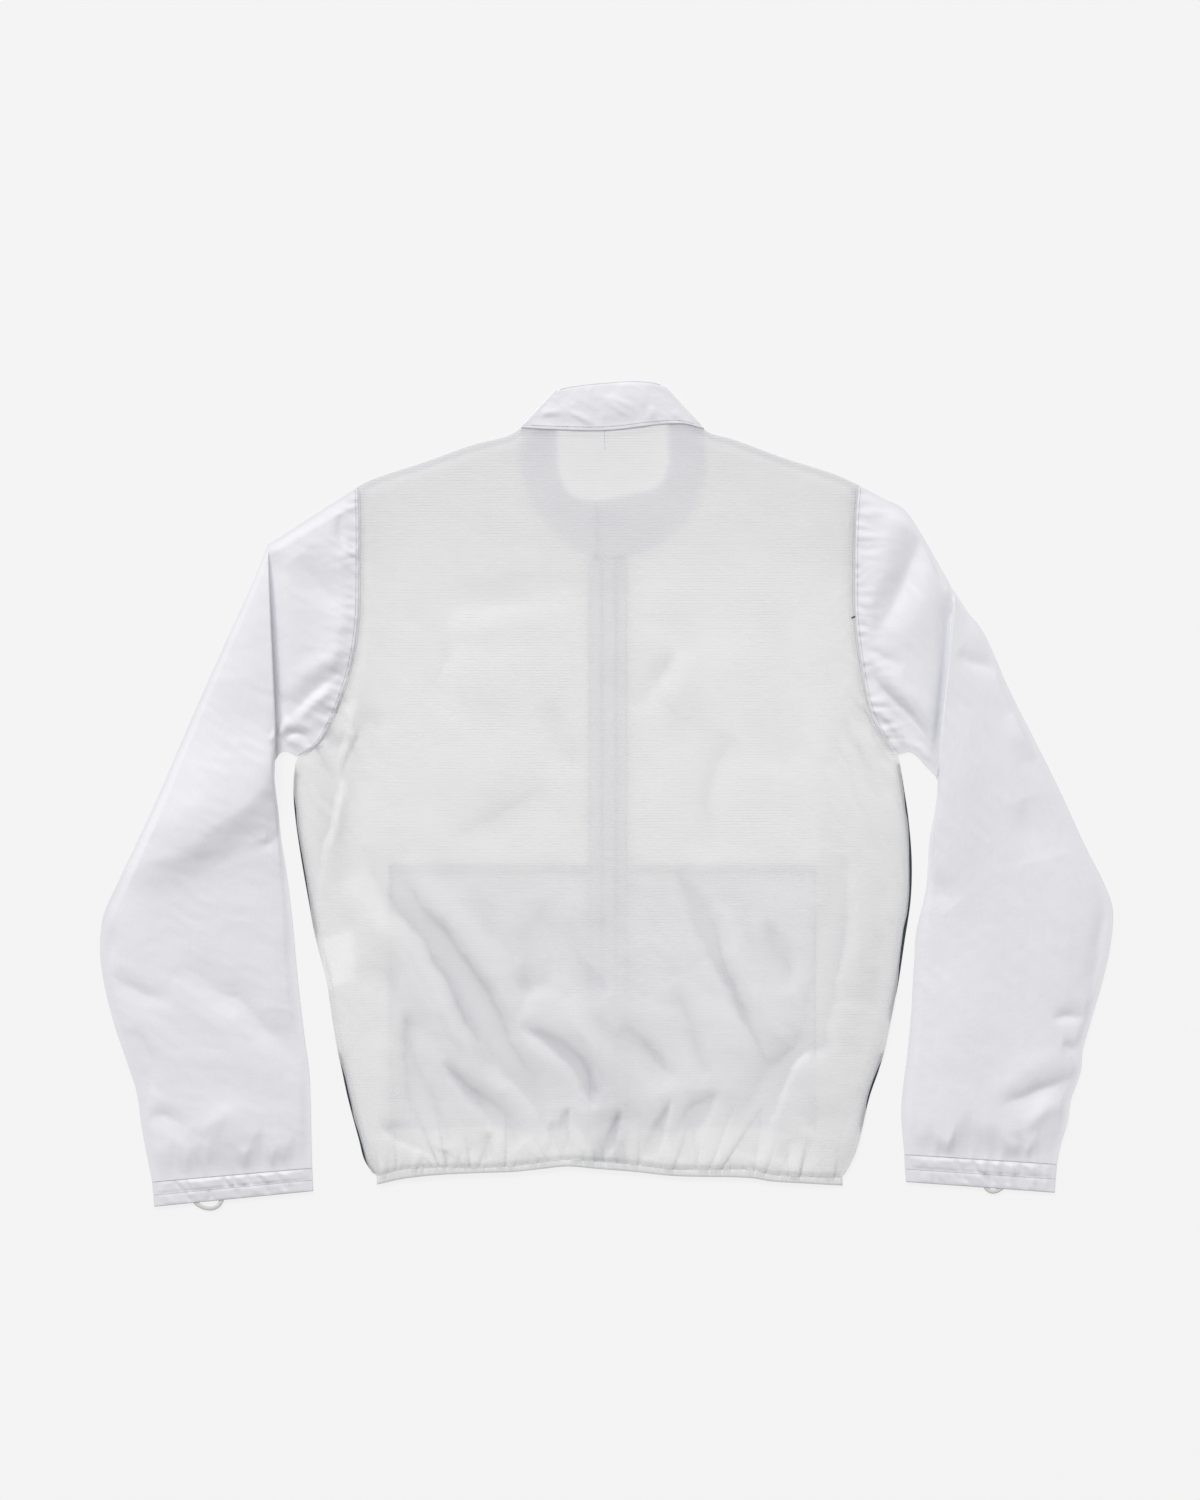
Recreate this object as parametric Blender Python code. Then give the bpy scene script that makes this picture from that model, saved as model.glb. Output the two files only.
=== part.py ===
"""A light zipped jacket laid flat on a table, face down, so that its back is up.

The tables are in millimetres: x is across the jacket from the centre back, y is up the back from
the lowest corner of the hem, and z is the height above the table. Blender gets metres. Each cut
piece is one closed cloth wall. From the table upwards lie the two fronts with the zip and the side
trims, then the facing, the pocket bags, the label and the front halves of the collar, and on top
the back. Sleeves, cuffs and hem binding are flattened tubes around that.
"""
import bpy
import bmesh
import numpy as np
from mathutils import Vector
from mathutils.geometry import delaunay_2d_cdt

MM = 0.001
ORIGIN_X = 1.2          # footprint centre in the tables' millimetres
ORIGIN_Y = 363.5

SEAM = 0.3              # gap that is left at a seam and between layers
CLOTH = 1.0             # wall of the flat layers
BACK_WALL = 1.1         # wall of the back
CUFF_WALL = 1.2         # wall of the elasticated casings
LAYER_2 = CLOTH + SEAM  # underside of what lies on the fronts
LOW_EDGE = LAYER_2 + BACK_WALL                    # outer height of the back at its side seams
HIGH_EDGE = LAYER_2 + CLOTH + SEAM + BACK_WALL    # outer height of the back over two layers
TRIM_WIDTH = 3.6        # dark flat trim in the side seams
TRIM_FOOT = 12.5        # level where the trims start above the hem
TRIM_MARKS = 30         # levels at which a trim and its front are marked
EDGE_FADE = 14.0        # width over which the back comes down to a seam

ZIP_X = 3.7             # zip centre line
ZIP_TOP = 637.0
CHAIN_HALF = 3.0
TAPE_HALF = 16.0
SLIDER_LENGTH = 11.0
SLIDER_TOP = 2.2
SLIDER_BUMP = 2.4       # how much the layers over the slider rise
SLIDER_SPREAD = 14.0
FACING_LEFT = -15.8
FACING_RIGHT = 21.4
POCKET_MOUTH_Y = 299.5
POCKET_FOOT_Y = 48.5
POCKET_OUT_LEFT = -200.0
POCKET_OUT_RIGHT = 195.5

GATHER_RISE = 1.3       # crest of a hem gather over its trough
GATHER_REACH = 24.0     # how fast the gathers die out up the back

# Sides of the body, a row for each level: level y, left edge, how much trim shows there, right
# edge, how much trim shows there.
BODY_SIDES = (
    (9.5, -214, 1.9, 222, 0),
    (25, -224, 3.3, 230.5, 0),
    (43.5, -229, 3.3, 237, 0),
    (81, -239, 3.3, 245.5, 2.8),
    (109, -245, 2.8, 255, 3.3),
    (132, -250, 0, 261.5, 0),
    (169.5, -256, 0, 269, 1.4),
    (192.5, -259.5, 0, 273.5, 3.3),
    (229.5, -269, 0.5, 279, 3.7),
    (267, -276, 3.3, 284.5, 4.2),
    (304, -282.5, 3.3, 285.5, 4.2),
    (341.5, -288, 3.3, 282.5, 3.3),
    (369, -290, 2.3, 278.5, 2.8),
    (393.5, -288.5, 0, 274.5, 0.9),
)
# Armhole seams from shoulder to underarm: left x, left y, right x, right y.
ARMHOLE = (
    (-230.5, 651, 236, 653),
    (-229.5, 620.5, 233.5, 620.5),
    (-229.5, 574, 232.5, 574),
    (-230.5, 527.5, 233.5, 527.5),
    (-237, 485.5, 239, 485.5),
    (-251, 443.5, 248, 443.5),
    (-267, 414, 263, 415.5),
    (-286.5, 400, 273.5, 402),
)
# Shoulder seams from neck to armhole: left x, left y, right x, right y.
SHOULDER = (
    (-78, 706, 92, 705),
    (-90, 698.5, 99.5, 700.5),
    (-123.5, 690, 122, 694.5),
    (-168.5, 674, 166.5, 678),
    (-213, 659.5, 211, 664),
    (-230.5, 651, 236, 653),
)
# Back neck seam, left to right: x, y.
BACK_NECK = ((-78, 706), (-50, 704), (1, 703), (49.5, 708.5), (73.5, 709.5), (92, 705))
# Top edge of the collar over the back, left to right: x, y.
COLLAR_TOP = ((-45.5, 741), (-34.5, 744), (-12, 747), (21.5, 749.5), (43.5, 748.5), (55, 745))
# Front halves of the collar from the centre front to the side fold: seam x, seam y, top x, top y.
COLLAR_FRONT_LEFT = (
    (-7.5, 591.5, -7.5, 638),
    (-28, 598, -27, 641.5),
    (-50, 617.5, -39, 654),
    (-64, 639, -43.5, 671.5),
    (-72.5, 662, -44.5, 694.5),
    (-76.5, 685.5, -45.5, 718),
    (-78, 706, -45.5, 741),
)
COLLAR_FRONT_RIGHT = (
    (-6.5, 590.5, -6.5, 639),
    (16, 591.5, 14, 642.5),
    (43.5, 599, 38, 647.5),
    (68, 618.5, 52, 654),
    (82, 639, 58.5, 671.5),
    (88.5, 662, 58.5, 694.5),
    (91, 683.5, 56.5, 721),
    (92, 705, 55, 745),
)
# Hem, left to right: x, level of the binding's seam, level of its lower edge.
HEM = (
    (-212, 9.5, 2),
    (-187, 16, 7.5),
    (-156, 17.5, 11),
    (-114.5, 17.5, 13),
    (-84.5, 19.5, 14),
    (-56, 23, 17),
    (-34.5, 25, 19),
    (-4.5, 23, 16.5),
    (27, 20.5, 14),
    (67, 16, 10),
    (130, 16, 8.5),
    (155.5, 11, 5),
    (188, 9, 3),
    (220.5, 8.5, 1),
)
# Spacing of the hem gathers: x, pitch there.
GATHER_PITCH = ((-212, 7.0), (-125, 7.0), (-95, 10.2), (60, 10.8), (221, 10.4))
# Sections of the sleeves from armhole to casing: outer edge x, y, inner edge x, y, share of the
# armhole's curve that the section keeps. The first SECTIONS_ABOVE_TUCK lie above the tuck.
SECTIONS_ABOVE_TUCK = {"left": 5, "right": 6}
SLEEVE_LEFT = (
    (-230.8, 651, -286.8, 400, 1.0),
    (-251, 638, -292, 403.5, 0.62),
    (-274.5, 623, -298.5, 405, 0.3),
    (-297.5, 608, -303, 402.5, 0.08),
    (-312, 599, -305, 399.5, 0),
    (-313.5, 598, -307, 397, 0),
    (-322, 576.5, -307.5, 380.5, 0),
    (-334, 548, -306, 364.5, 0),
    (-348, 518, -304, 349, 0),
    (-369, 471.5, -301.5, 324.5, 0),
    (-391.5, 420.5, -297.5, 299.5, 0),
    (-417.5, 360, -294, 274.5, 0),
    (-437, 318, -291, 248.5, 0),
    (-454, 282, -289, 228, 0),
    (-467, 252, -287.5, 209, 0),
    (-470, 220.5, -285, 185, 0),
    (-466, 188, -282.5, 163, 0),
    (-456.5, 150.5, -279, 135, 0),
    (-445.5, 118, -275.5, 109, 0),
    (-436, 88.5, -274, 83, 0),
    (-431.5, 57.5, -273.5, 57.5, 0),
    (-427, 32.5, -273, 37, 0),
    (-421.5, 4.8, -272.5, 17.8, 0),
)
SLEEVE_RIGHT = (
    (236.3, 653, 273.8, 402, 1.0),
    (256, 642.5, 278, 403.5, 0.62),
    (277, 631.5, 283.5, 404.5, 0.3),
    (291, 613, 290, 401, 0.1),
    (309.5, 581, 298.5, 391.5, 0),
    (324, 555, 308, 382, 0),
    (325.5, 553.5, 309.5, 378.5, 0),
    (337.5, 535, 309, 364.5, 0),
    (353.5, 513.5, 307, 350.5, 0),
    (376.5, 462, 302, 322.5, 0),
    (400, 415.5, 300.5, 299.5, 0),
    (423, 369, 298.5, 276, 0),
    (446.5, 318, 293, 253, 0),
    (463, 285.5, 289, 234.5, 0),
    (472.5, 257.5, 288, 216, 0),
    (469.5, 220.5, 286.5, 192.5, 0),
    (460.5, 183, 285, 164.5, 0),
    (451, 150.5, 282.5, 136.5, 0),
    (444.5, 127.5, 280, 113.5, 0),
    (442.5, 107, 277, 92, 0),
    (433.5, 81, 275.5, 73.5, 0),
    (430.5, 60.5, 276, 57.5, 0),
    (424, 39, 277.5, 42, 0),
    (420.5, 21.3, 278.5, 30.3, 0),
)
# Casings, from the sleeve's seam to the wrist edge: outer x, y, inner x, y.
CUFF_LEFT = ((-421.5, 4.5, -272.5, 17.5), (-420.5, -7, -272, 7), (-419.5, -18.5, -271.5, -4))
CUFF_RIGHT = ((420.5, 21, 278.5, 30), (419.5, 8, 279, 17.5), (418.5, -5.5, 280, 4.5))
# Elastic loops under the casings, centre line of the flat tape: x, y.
LOOP_LEFT = ((-386, -7), (-379.5, -16), (-369, -20.2), (-360, -17.5), (-354.5, -8))
LOOP_RIGHT = ((351.5, 9), (355, -1.5), (362, -4.5), (370, -0.5), (378, 8))
LOOP_WIDTH = 4.4
LOOP_WALL = 1.2
# Care label, corners: x, y.
CARE_LABEL = ((-266.5, 229), (-234.5, 240), (-232.5, 194.5), (-257, 183.5))
LABEL_EDGE_SPAN = (172.0, 246.0)

# Folds: start x, y, middle x, y, end x, y, half width, rise (a trough is negative).
BACK_FOLDS = (
    (-189, 521, -126, 555, -18, 562, 13, -1.6),
    (-178, 506, -119, 521, -24, 536, 10, 1.5),
    (-244, 466, -260, 360, -270, 262, 7, -3.0),
    (-232, 453, -248, 360, -260, 267, 8, 3.0),
    (-204, 441, -230, 411, -256, 346, 10, -2.2),
    (-228, 316, -128, 182, -50, 43, 11, -6.0),
    (-242, 286, -154, 164, -98, 62, 16, 3.4),
    (-190, 304, -98, 183, -42, 81, 15, 3.6),
    (-58, 262, -69, 197, -86, 147, 11, -2.2),
    (-79, 152, -32, 118, -10, 72, 11, -4.0),
    (-42, 174, -4, 118, 14, 62, 14, 2.6),
    (-143, 322, -98, 349, -34, 382, 13, -1.6),
    (66, 500, 46, 472, 26, 444, 11, -2.0),
    (66, 296, 98, 230, 156, 98, 11, -3.2),
    (107, 267, 130, 192, 172, 118, 12, 2.2),
    (112, 77, 81, 51, 65, 22, 9, -3.5),
    (159, 81, 143, 50, 138, 24, 8, -3.0),
    (185, 107, 136, 62, 116, 28, 9, -4.0),
    (225, 312, 211, 211, 192, 112, 8, -4.5),
    (236, 302, 234, 220, 225, 136, 11, 4.2),
    (236, 432, 242, 378, 255, 312, 8, -2.2),
    (-186, 164, -180, 100, -154, 34, 10, -3.2),
)
# Places where the back stands off the layers under it: x, y, half width, half height, rise.
BACK_PUFFS = (
    (-175, 130, 55, 105, 4.0),
    (-70, 120, 75, 95, 5.0),
    (45, 120, 65, 95, 4.4),
    (150, 140, 60, 110, 4.6),
    (-40, 300, 150, 90, 1.8),
    (120, 380, 90, 150, 1.6),
    (-110, 430, 90, 120, 1.6),
    (0, 600, 150, 70, 1.2),
    (228, 210, 26, 110, 2.6),
)
SLEEVE_LEFT_FOLDS = (
    (-286, 586, -263, 555, -242, 535, 13, -3.0),
    (-232, 508, -270, 482, -302, 453, 10, 1.8),
    (-239, 482, -267, 462, -298, 434, 7, -2.0),
    (-312, 390, -362, 328, -446, 290, 14, -4.6),
    (-293, 360, -340, 286, -395, 258, 22, 2.4),
    (-349, 397, -386, 350, -432, 322, 18, 2.0),
    (-467, 201, -409, 204, -378, 199, 9, -2.4),
    (-378, 199, -330, 156, -277, 107, 11, -2.8),
    (-432, 178, -368, 164, -293, 90, 12, 1.6),
    (-428, 36, -400, 25, -376, 14, 10, -3.0),
    (-340, 55, -319, 39, -284, 20, 11, -2.4),
)
SLEEVE_RIGHT_FOLDS = (
    (284, 620, 270, 564, 244, 508, 12, -4.6),
    (291, 611, 295, 546, 274, 508, 14, 2.4),
    (244, 481, 274, 448, 308, 411, 8, -3.0),
    (246, 495, 279, 462, 310, 430, 8, 1.6),
    (328, 498, 349, 486, 370, 482, 10, -1.8),
    (376, 442, 388, 420, 401, 400, 11, 1.8),
    (413, 154, 428, 159, 446, 160, 8, -2.4),
    (368, 74, 404, 90, 440, 102, 10, -2.6),
    (279, 72, 321, 58, 358, 34, 14, -4.0),
    (400, 44, 414, 50, 425, 58, 8, -2.6),
)
SLEEVE_EDGE = 2.6       # height of a flattened sleeve at its two edges
SLEEVE_ARCH = 3.0       # how much its middle stands higher
TUCK_RISE = 3.4         # how much the cloth below the tuck lies higher
TUCK_REACH = 42.0

# Finishes: red, green, blue as on a screen, roughness.
FINISH = {
    "sheer": (226, 226, 226, 0.55),
    "lavender": (219, 219, 224, 0.45),
    "elastic": (221, 221, 220, 0.8),
    "slate": (46, 54, 60, 0.6),
    "label": (240, 240, 238, 0.6),
    "tape": (214, 214, 218, 0.7),
    "teeth": (206, 206, 210, 0.35),
}


def spline(points, step):
    """A smooth line through the rows of a table, with a point about every step."""
    rows = np.array(points, float)
    ends = np.vstack([2 * rows[0] - rows[1], rows, 2 * rows[-1] - rows[-2]])
    line = []
    for a, b, c, d in zip(ends, ends[1:], ends[2:], ends[3:]):
        count = max(1, int(round(np.linalg.norm((c - b)[:2]) / step)))
        for k in range(count):
            t = k / count
            line.append(0.5 * (2 * b + (c - a) * t + (2 * a - 5 * b + 4 * c - d) * t * t
                               + (3 * b - a - 3 * c + d) * t ** 3))
    line.append(rows[-1])
    return np.array(line)


def evenly(line, count):
    """Points at even distances along a line."""
    steps = np.linalg.norm(np.diff(line[:, :2], axis=0), axis=1)
    run = np.concatenate([[0.0], np.cumsum(steps)])
    at = np.linspace(0.0, run[-1], count)
    return np.column_stack([np.interp(at, run, line[:, k]) for k in range(line.shape[1])])


def smooth(value):
    """0 below 0, 1 above 1, and an even slope between."""
    t = np.clip(value, 0.0, 1.0)
    return t * t * (3 - 2 * t)


def nearest(x, y, line):
    """How far each point is from a line, and how far along it the nearest spot lies, 0 to 1."""
    x = np.asarray(x, float)
    y = np.asarray(y, float)
    best = np.full(x.shape, 1e9)
    share = np.zeros(x.shape)
    lengths = np.linalg.norm(np.diff(line, axis=0), axis=1)
    total = lengths.sum()
    run = 0.0
    for a, b, length in zip(line, line[1:], lengths):
        t = np.clip(((x - a[0]) * (b[0] - a[0]) + (y - a[1]) * (b[1] - a[1])) / length ** 2, 0, 1)
        gap = np.hypot(x - a[0] - t * (b[0] - a[0]), y - a[1] - t * (b[1] - a[1]))
        closer = gap < best
        best = np.where(closer, gap, best)
        share = np.where(closer, (run + t * length) / total, share)
        run += length
    return best, share


def fold_line(row, count=9):
    """The three-point curve of a fold."""
    xa, ya, xm, ym, xb, yb = row[:6]
    t = np.linspace(0.0, 1.0, count)
    cx = 2 * xm - (xa + xb) / 2
    cy = 2 * ym - (ya + yb) / 2
    return np.column_stack([(1 - t) ** 2 * xa + 2 * t * (1 - t) * cx + t * t * xb,
                            (1 - t) ** 2 * ya + 2 * t * (1 - t) * cy + t * t * yb])


def folds_at(x, y, folds):
    """Height that the folds add: soft ridges and troughs that die out at both ends."""
    lift = np.zeros(np.shape(x))
    for row in folds:
        gap, share = nearest(x, y, fold_line(row))
        ends = np.clip(np.sin(np.pi * share), 0, 1) ** 0.6
        lift += row[7] * np.exp(-(gap / row[6]) ** 2) * ends
    return lift


def upward(lift):
    """Lets cloth rise freely but never sink into the layer under it."""
    return (lift + np.sqrt(lift ** 2 + 1.0)) / 2


def slider_lift(x, y):
    gap = np.hypot(np.asarray(x) - ZIP_X, np.asarray(y) - (ZIP_TOP - SLIDER_LENGTH / 2))
    return SLIDER_BUMP * np.exp(-(gap / SLIDER_SPREAD) ** 2)


SIDES = spline(BODY_SIDES, 5.0)
HEM_LINE = spline(HEM, 3.0)


def side_at(y, column):
    return np.interp(y, SIDES[:, 0], np.clip(SIDES[:, column], -400, 400))


def back_side(y, side):
    """Edge of the back panel at a side seam: the trim shows beyond it."""
    if side == "left":
        return side_at(y, 1) + np.maximum(side_at(y, 2), 0)
    return side_at(y, 3) - np.maximum(side_at(y, 4), 0)


def trim_side(y, side):
    """Outer edge of the trim: at the body's edge where it shows, else just inside it."""
    if side == "left":
        return side_at(y, 1) + np.clip(1 - side_at(y, 2), 0, 1)
    return side_at(y, 3) - np.clip(1 - side_at(y, 4), 0, 1)


def seam_y(x):
    return np.interp(x, HEM_LINE[:, 0], HEM_LINE[:, 1])


def hem_y(x):
    return np.interp(x, HEM_LINE[:, 0], HEM_LINE[:, 2])


def gather_marks():
    """Crests and troughs of the hem gathers, left to right: x, and the crest's own size or 0."""
    pitch_x = [row[0] for row in GATHER_PITCH]
    pitch = [row[1] for row in GATHER_PITCH]
    x = HEM[0][0] + 2.0
    marks = []
    index = 0
    while x < HEM[-1][0] - 3.0:
        step = float(np.interp(x, pitch_x, pitch)) * (1 + 0.22 * np.sin(2.3 * index))
        marks.append((x, 0.0))
        marks.append((x + step / 2, 0.75 + 0.25 * np.sin(1.7 * index + 0.6)))
        x += step
        index += 1
    marks.append((x, 0.0))
    return np.array([m for m in marks if m[0] < HEM[-1][0] - 1.5])


GATHERS = gather_marks()


def gathers_at(x, y):
    """Height of the gathers, full at the binding and dying out up the back."""
    up = np.maximum(np.asarray(y) - seam_y(x), 0)
    return GATHER_RISE * np.interp(x, GATHERS[:, 0], GATHERS[:, 1]) * np.exp(-up / GATHER_REACH)


LOW_SEAMS = []


def find_low_seams():
    """Seams where the back comes down onto the fronts."""
    ys = np.linspace(BODY_SIDES[0][0], BODY_SIDES[-1][0], 60)
    left = np.column_stack([back_side(ys, "left"), ys])
    right = np.column_stack([back_side(ys, "right"), ys])
    arms = spline(ARMHOLE, 12.0)
    shoulders = spline(SHOULDER[2:], 20.0)
    LOW_SEAMS.extend([
        left[ys < LABEL_EDGE_SPAN[0]], left[ys > LABEL_EDGE_SPAN[1]], right,
        arms[:, 0:2], arms[:, 2:4], shoulders[:, 0:2], shoulders[:, 2:4],
    ])


find_low_seams()


def back_height(x, y):
    """Outer height of the back."""
    x = np.asarray(x, float)
    y = np.asarray(y, float)
    seam = np.min([nearest(x, y, line)[0] for line in LOW_SEAMS], axis=0)
    inside = smooth(seam / EDGE_FADE)
    lift = np.zeros(x.shape)
    for px, py, wide, high, rise in BACK_PUFFS:
        lift += rise * np.exp(-(((x - px) / wide) ** 2 + ((y - py) / high) ** 2))
    lift = upward(lift + folds_at(x, y, BACK_FOLDS))
    by_hem = 0.25 + 0.75 * smooth((y - seam_y(x)) / 45.0)
    base = LOW_EDGE + (HIGH_EDGE - LOW_EDGE) * inside
    return base + lift * inside * by_hem + gathers_at(x, y) + slider_lift(x, y)


def finish(name):
    red, green, blue, rough = FINISH[name]
    return [(value / 255) ** 2.2 for value in (red, green, blue)], rough


def make_object(name, bm, look):
    """One named object with its own material, its faces turned outwards."""
    bmesh.ops.recalc_face_normals(bm, faces=bm.faces)
    for vert in bm.verts:
        x, y, z = vert.co
        vert.co = Vector(((x - ORIGIN_X) * MM, (y - ORIGIN_Y) * MM, z * MM))
    mesh = bpy.data.meshes.new(name)
    bm.to_mesh(mesh)
    bm.free()
    item = bpy.data.objects.new(name, mesh)
    bpy.context.scene.collection.objects.link(item)
    material = bpy.data.materials.new(name)
    material.use_nodes = True
    shader = material.node_tree.nodes["Principled BSDF"]
    colour, rough = finish(look)
    shader.inputs["Base Color"].default_value = (*colour, 1.0)
    shader.inputs["Roughness"].default_value = rough
    shader.inputs["Metallic"].default_value = 0.0
    mesh.materials.append(material)
    return item


def panel(name, outline, marks, height, wall, look):
    """A cloth wall over an outline. height(x, y) is its outer side; the wall goes down from it."""
    edge = [Vector((float(p[0]), float(p[1]))) for p in outline]
    inner = [Vector((float(p[0]), float(p[1]))) for p in marks]
    flat = delaunay_2d_cdt(edge + inner, [], [list(range(len(edge)))], 1, 0.01)
    xy = np.array([(v.x, v.y) for v in flat[0]])
    top = height(xy[:, 0], xy[:, 1]) * np.ones(len(xy))
    slope = 0.6
    reach = [(slope, 0), (-slope, 0), (0, slope), (0, -slope)]
    east, west, north, south = [height(xy[:, 0] + dx, xy[:, 1] + dy) for dx, dy in reach]
    steep = np.hypot((east - west) / (2 * slope), (north - south) / (2 * slope))
    under = top - wall * np.minimum(np.hypot(1.0, steep), 1.6)
    bm = bmesh.new()
    upper = [bm.verts.new((p[0], p[1], z)) for p, z in zip(xy, top)]
    lower = [bm.verts.new((p[0], p[1], z)) for p, z in zip(xy, under)]
    count = {}
    for face in flat[2]:
        bm.faces.new([upper[i] for i in face])
        bm.faces.new([lower[i] for i in reversed(face)])
        for a, b in zip(face, face[1:] + face[:1]):
            count[(a, b)] = count.get((a, b), 0) + 1
    for a, b in count:
        if (b, a) not in count:
            bm.faces.new([upper[b], upper[a], lower[a], lower[b]])
    return make_object(name, bm, look)


def shell(name, outer, inner, closed_round, look):
    """A wall between two grids of points [along][round]. closed_round joins each row's ends."""
    along, around = outer.shape[:2]
    bm = bmesh.new()
    out = [[bm.verts.new(p) for p in row] for row in outer]
    ins = [[bm.verts.new(p) for p in row] for row in inner]
    last = around if closed_round else around - 1
    for i in range(along - 1):
        for j in range(last):
            k = (j + 1) % around
            bm.faces.new([out[i][j], out[i + 1][j], out[i + 1][k], out[i][k]])
            bm.faces.new([ins[i][k], ins[i + 1][k], ins[i + 1][j], ins[i][j]])
        if not closed_round:
            bm.faces.new([out[i + 1][0], out[i][0], ins[i][0], ins[i + 1][0]])
            bm.faces.new([out[i][-1], out[i + 1][-1], ins[i + 1][-1], ins[i][-1]])
    for j in range(last):
        k = (j + 1) % around
        bm.faces.new([out[0][j], out[0][k], ins[0][k], ins[0][j]])
        bm.faces.new([out[-1][k], out[-1][j], ins[-1][j], ins[-1][k]])
    return make_object(name, bm, look)


def flat_grid(outline, spacing):
    """Marks at an even spacing inside the box of an outline."""
    low = np.min(outline, axis=0)
    high = np.max(outline, axis=0)
    xs = np.arange(low[0] + spacing / 2, high[0], spacing)
    ys = np.arange(low[1] + spacing / 2, high[1], spacing)
    return np.array([(x + (spacing / 4 if k % 2 else -spacing / 4), y)
                     for k, y in enumerate(ys) for x in xs])


def keep_inside(points, outline, margin):
    """Points that lie inside a closed outline, at least a margin from it."""
    x, y = points[:, 0], points[:, 1]
    inside = np.zeros(len(points), bool)
    loop = np.vstack([outline, outline[:1]])
    for (ax, ay), (bx, by) in zip(loop, loop[1:]):
        crosses = (ay > y) != (by > y)
        at = ax + (y - ay) / (by - ay if by != ay else 1e-9) * (bx - ax)
        inside ^= crosses & (x < at)
    return points[inside & (nearest(x, y, loop)[0] > margin)]


def thin_out(points, spacing):
    """Drops each point that lies closer than its spacing to one already kept."""
    kept = []
    for p in points:
        if not kept or np.min(np.hypot(*(np.array(kept) - p[:2]).T)) > spacing:
            kept.append(p[:2])
    return np.array(kept)


def armhole(side, count):
    line = spline(ARMHOLE, 6.0)
    columns = line[:, 0:2] if side == "left" else line[:, 2:4]
    return evenly(columns, count)


def shoulder(side, step):
    line = spline(SHOULDER, step)
    return line[:, 0:2] if side == "left" else line[:, 2:4]


def neck_seam():
    return evenly(spline(BACK_NECK, 4.0), 15)


def front_hem(side):
    """Where the binding's seam is marked along a front, from the zip towards the side."""
    if side == "left":
        return np.linspace(ZIP_X - TAPE_HALF - SEAM, HEM[0][0] + 7.0, 14)
    return np.linspace(ZIP_X + TAPE_HALF + SEAM, HEM[-1][0] - 7.0, 14)


def side_line(side, edge, count, start_y):
    ys = np.linspace(start_y, BODY_SIDES[-1][0], count)
    return np.column_stack([edge(ys, side), ys])


def build_back():
    """The back: one panel, gathered at the hem, with the folds of the lower back."""
    hem = [(x, float(seam_y(x)) + SEAM) for x, _ in GATHERS]
    right = side_line("right", back_side, 24, 14.0)
    left = side_line("left", back_side, 24, 15.0)
    neck = neck_seam() - [0, SEAM]
    outline = np.vstack([
        hem, right, armhole("right", 15)[::-1][1:-1], shoulder("right", 20.0)[::-1][:-1],
        neck[::-1], shoulder("left", 20.0)[1:], armhole("left", 15)[1:-1], left[::-1],
    ])
    marks = []
    for level in (6.0, 15.0, 27.0):
        marks += [(x, float(seam_y(x)) + level) for x, _ in GATHERS]
    for row in BACK_FOLDS:
        line = fold_line(row, 6)
        along = np.gradient(line, axis=0)
        across = np.column_stack([-along[:, 1], along[:, 0]])
        across /= np.linalg.norm(across, axis=1)[:, None]
        for side in (0, -1, 1):
            marks += [tuple(p) for p in line + side * row[6] * across]
    reach = np.arange(-21.0, 22.0, 7.0)
    marks += [(ZIP_X + dx, ZIP_TOP - SLIDER_LENGTH / 2 + dy) for dx in reach for dy in reach]
    marks = thin_out(np.array(marks), 4.5)
    grid = thin_out(np.vstack([marks, flat_grid(outline, 27.0)]), 13.0)
    extra = grid[[np.min(np.hypot(*(marks - p).T)) > 10.0 for p in grid]]
    marks = keep_inside(np.vstack([marks, extra]), outline, 3.5)
    panel("back", outline, marks, back_height, BACK_WALL, "sheer")


def build_fronts():
    """The two fronts lie flat under the back, from the zip tapes to the side trims."""
    flat = lambda x, y: np.full(np.shape(x), CLOTH)
    for side, sign, neckline in (("left", -1, COLLAR_FRONT_LEFT), ("right", 1, COLLAR_FRONT_RIGHT)):
        zip_edge = ZIP_X + sign * (TAPE_HALF + SEAM)
        trim_in = lambda ys, s: trim_side(ys, s) - sign * (TRIM_WIDTH + SEAM)
        edge = side_line(side, trim_in, TRIM_MARKS, TRIM_FOOT)
        xs = front_hem(side)
        hem = np.column_stack([xs, seam_y(xs) + SEAM])
        neck = spline(neckline, 14.0)[:, 0:2][::-1]
        neck = neck[(neck[:, 0] - zip_edge) * sign > 4.0]
        top = np.interp(zip_edge, *np.array(sorted(map(tuple, neck))).T)
        outline = np.vstack([hem, edge, armhole(side, 12)[::-1][1:-1],
                             shoulder(side, 30.0)[::-1], neck[1:], [(zip_edge, top - 1.0)]])
        panel("front_" + side, outline, np.zeros((0, 2)), flat, CLOTH, "sheer")


def build_trims():
    """Dark flat trims in the side seams."""
    flat = lambda x, y: np.full(np.shape(x), CLOTH)
    for side, sign in (("left", -1), ("right", 1)):
        out = side_line(side, trim_side, TRIM_MARKS, TRIM_FOOT)
        outline = np.vstack([out, (out - [sign * TRIM_WIDTH, 0])[::-1]])
        panel("piping_" + side, outline, np.zeros((0, 2)), flat, CLOTH, "slate")


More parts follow.
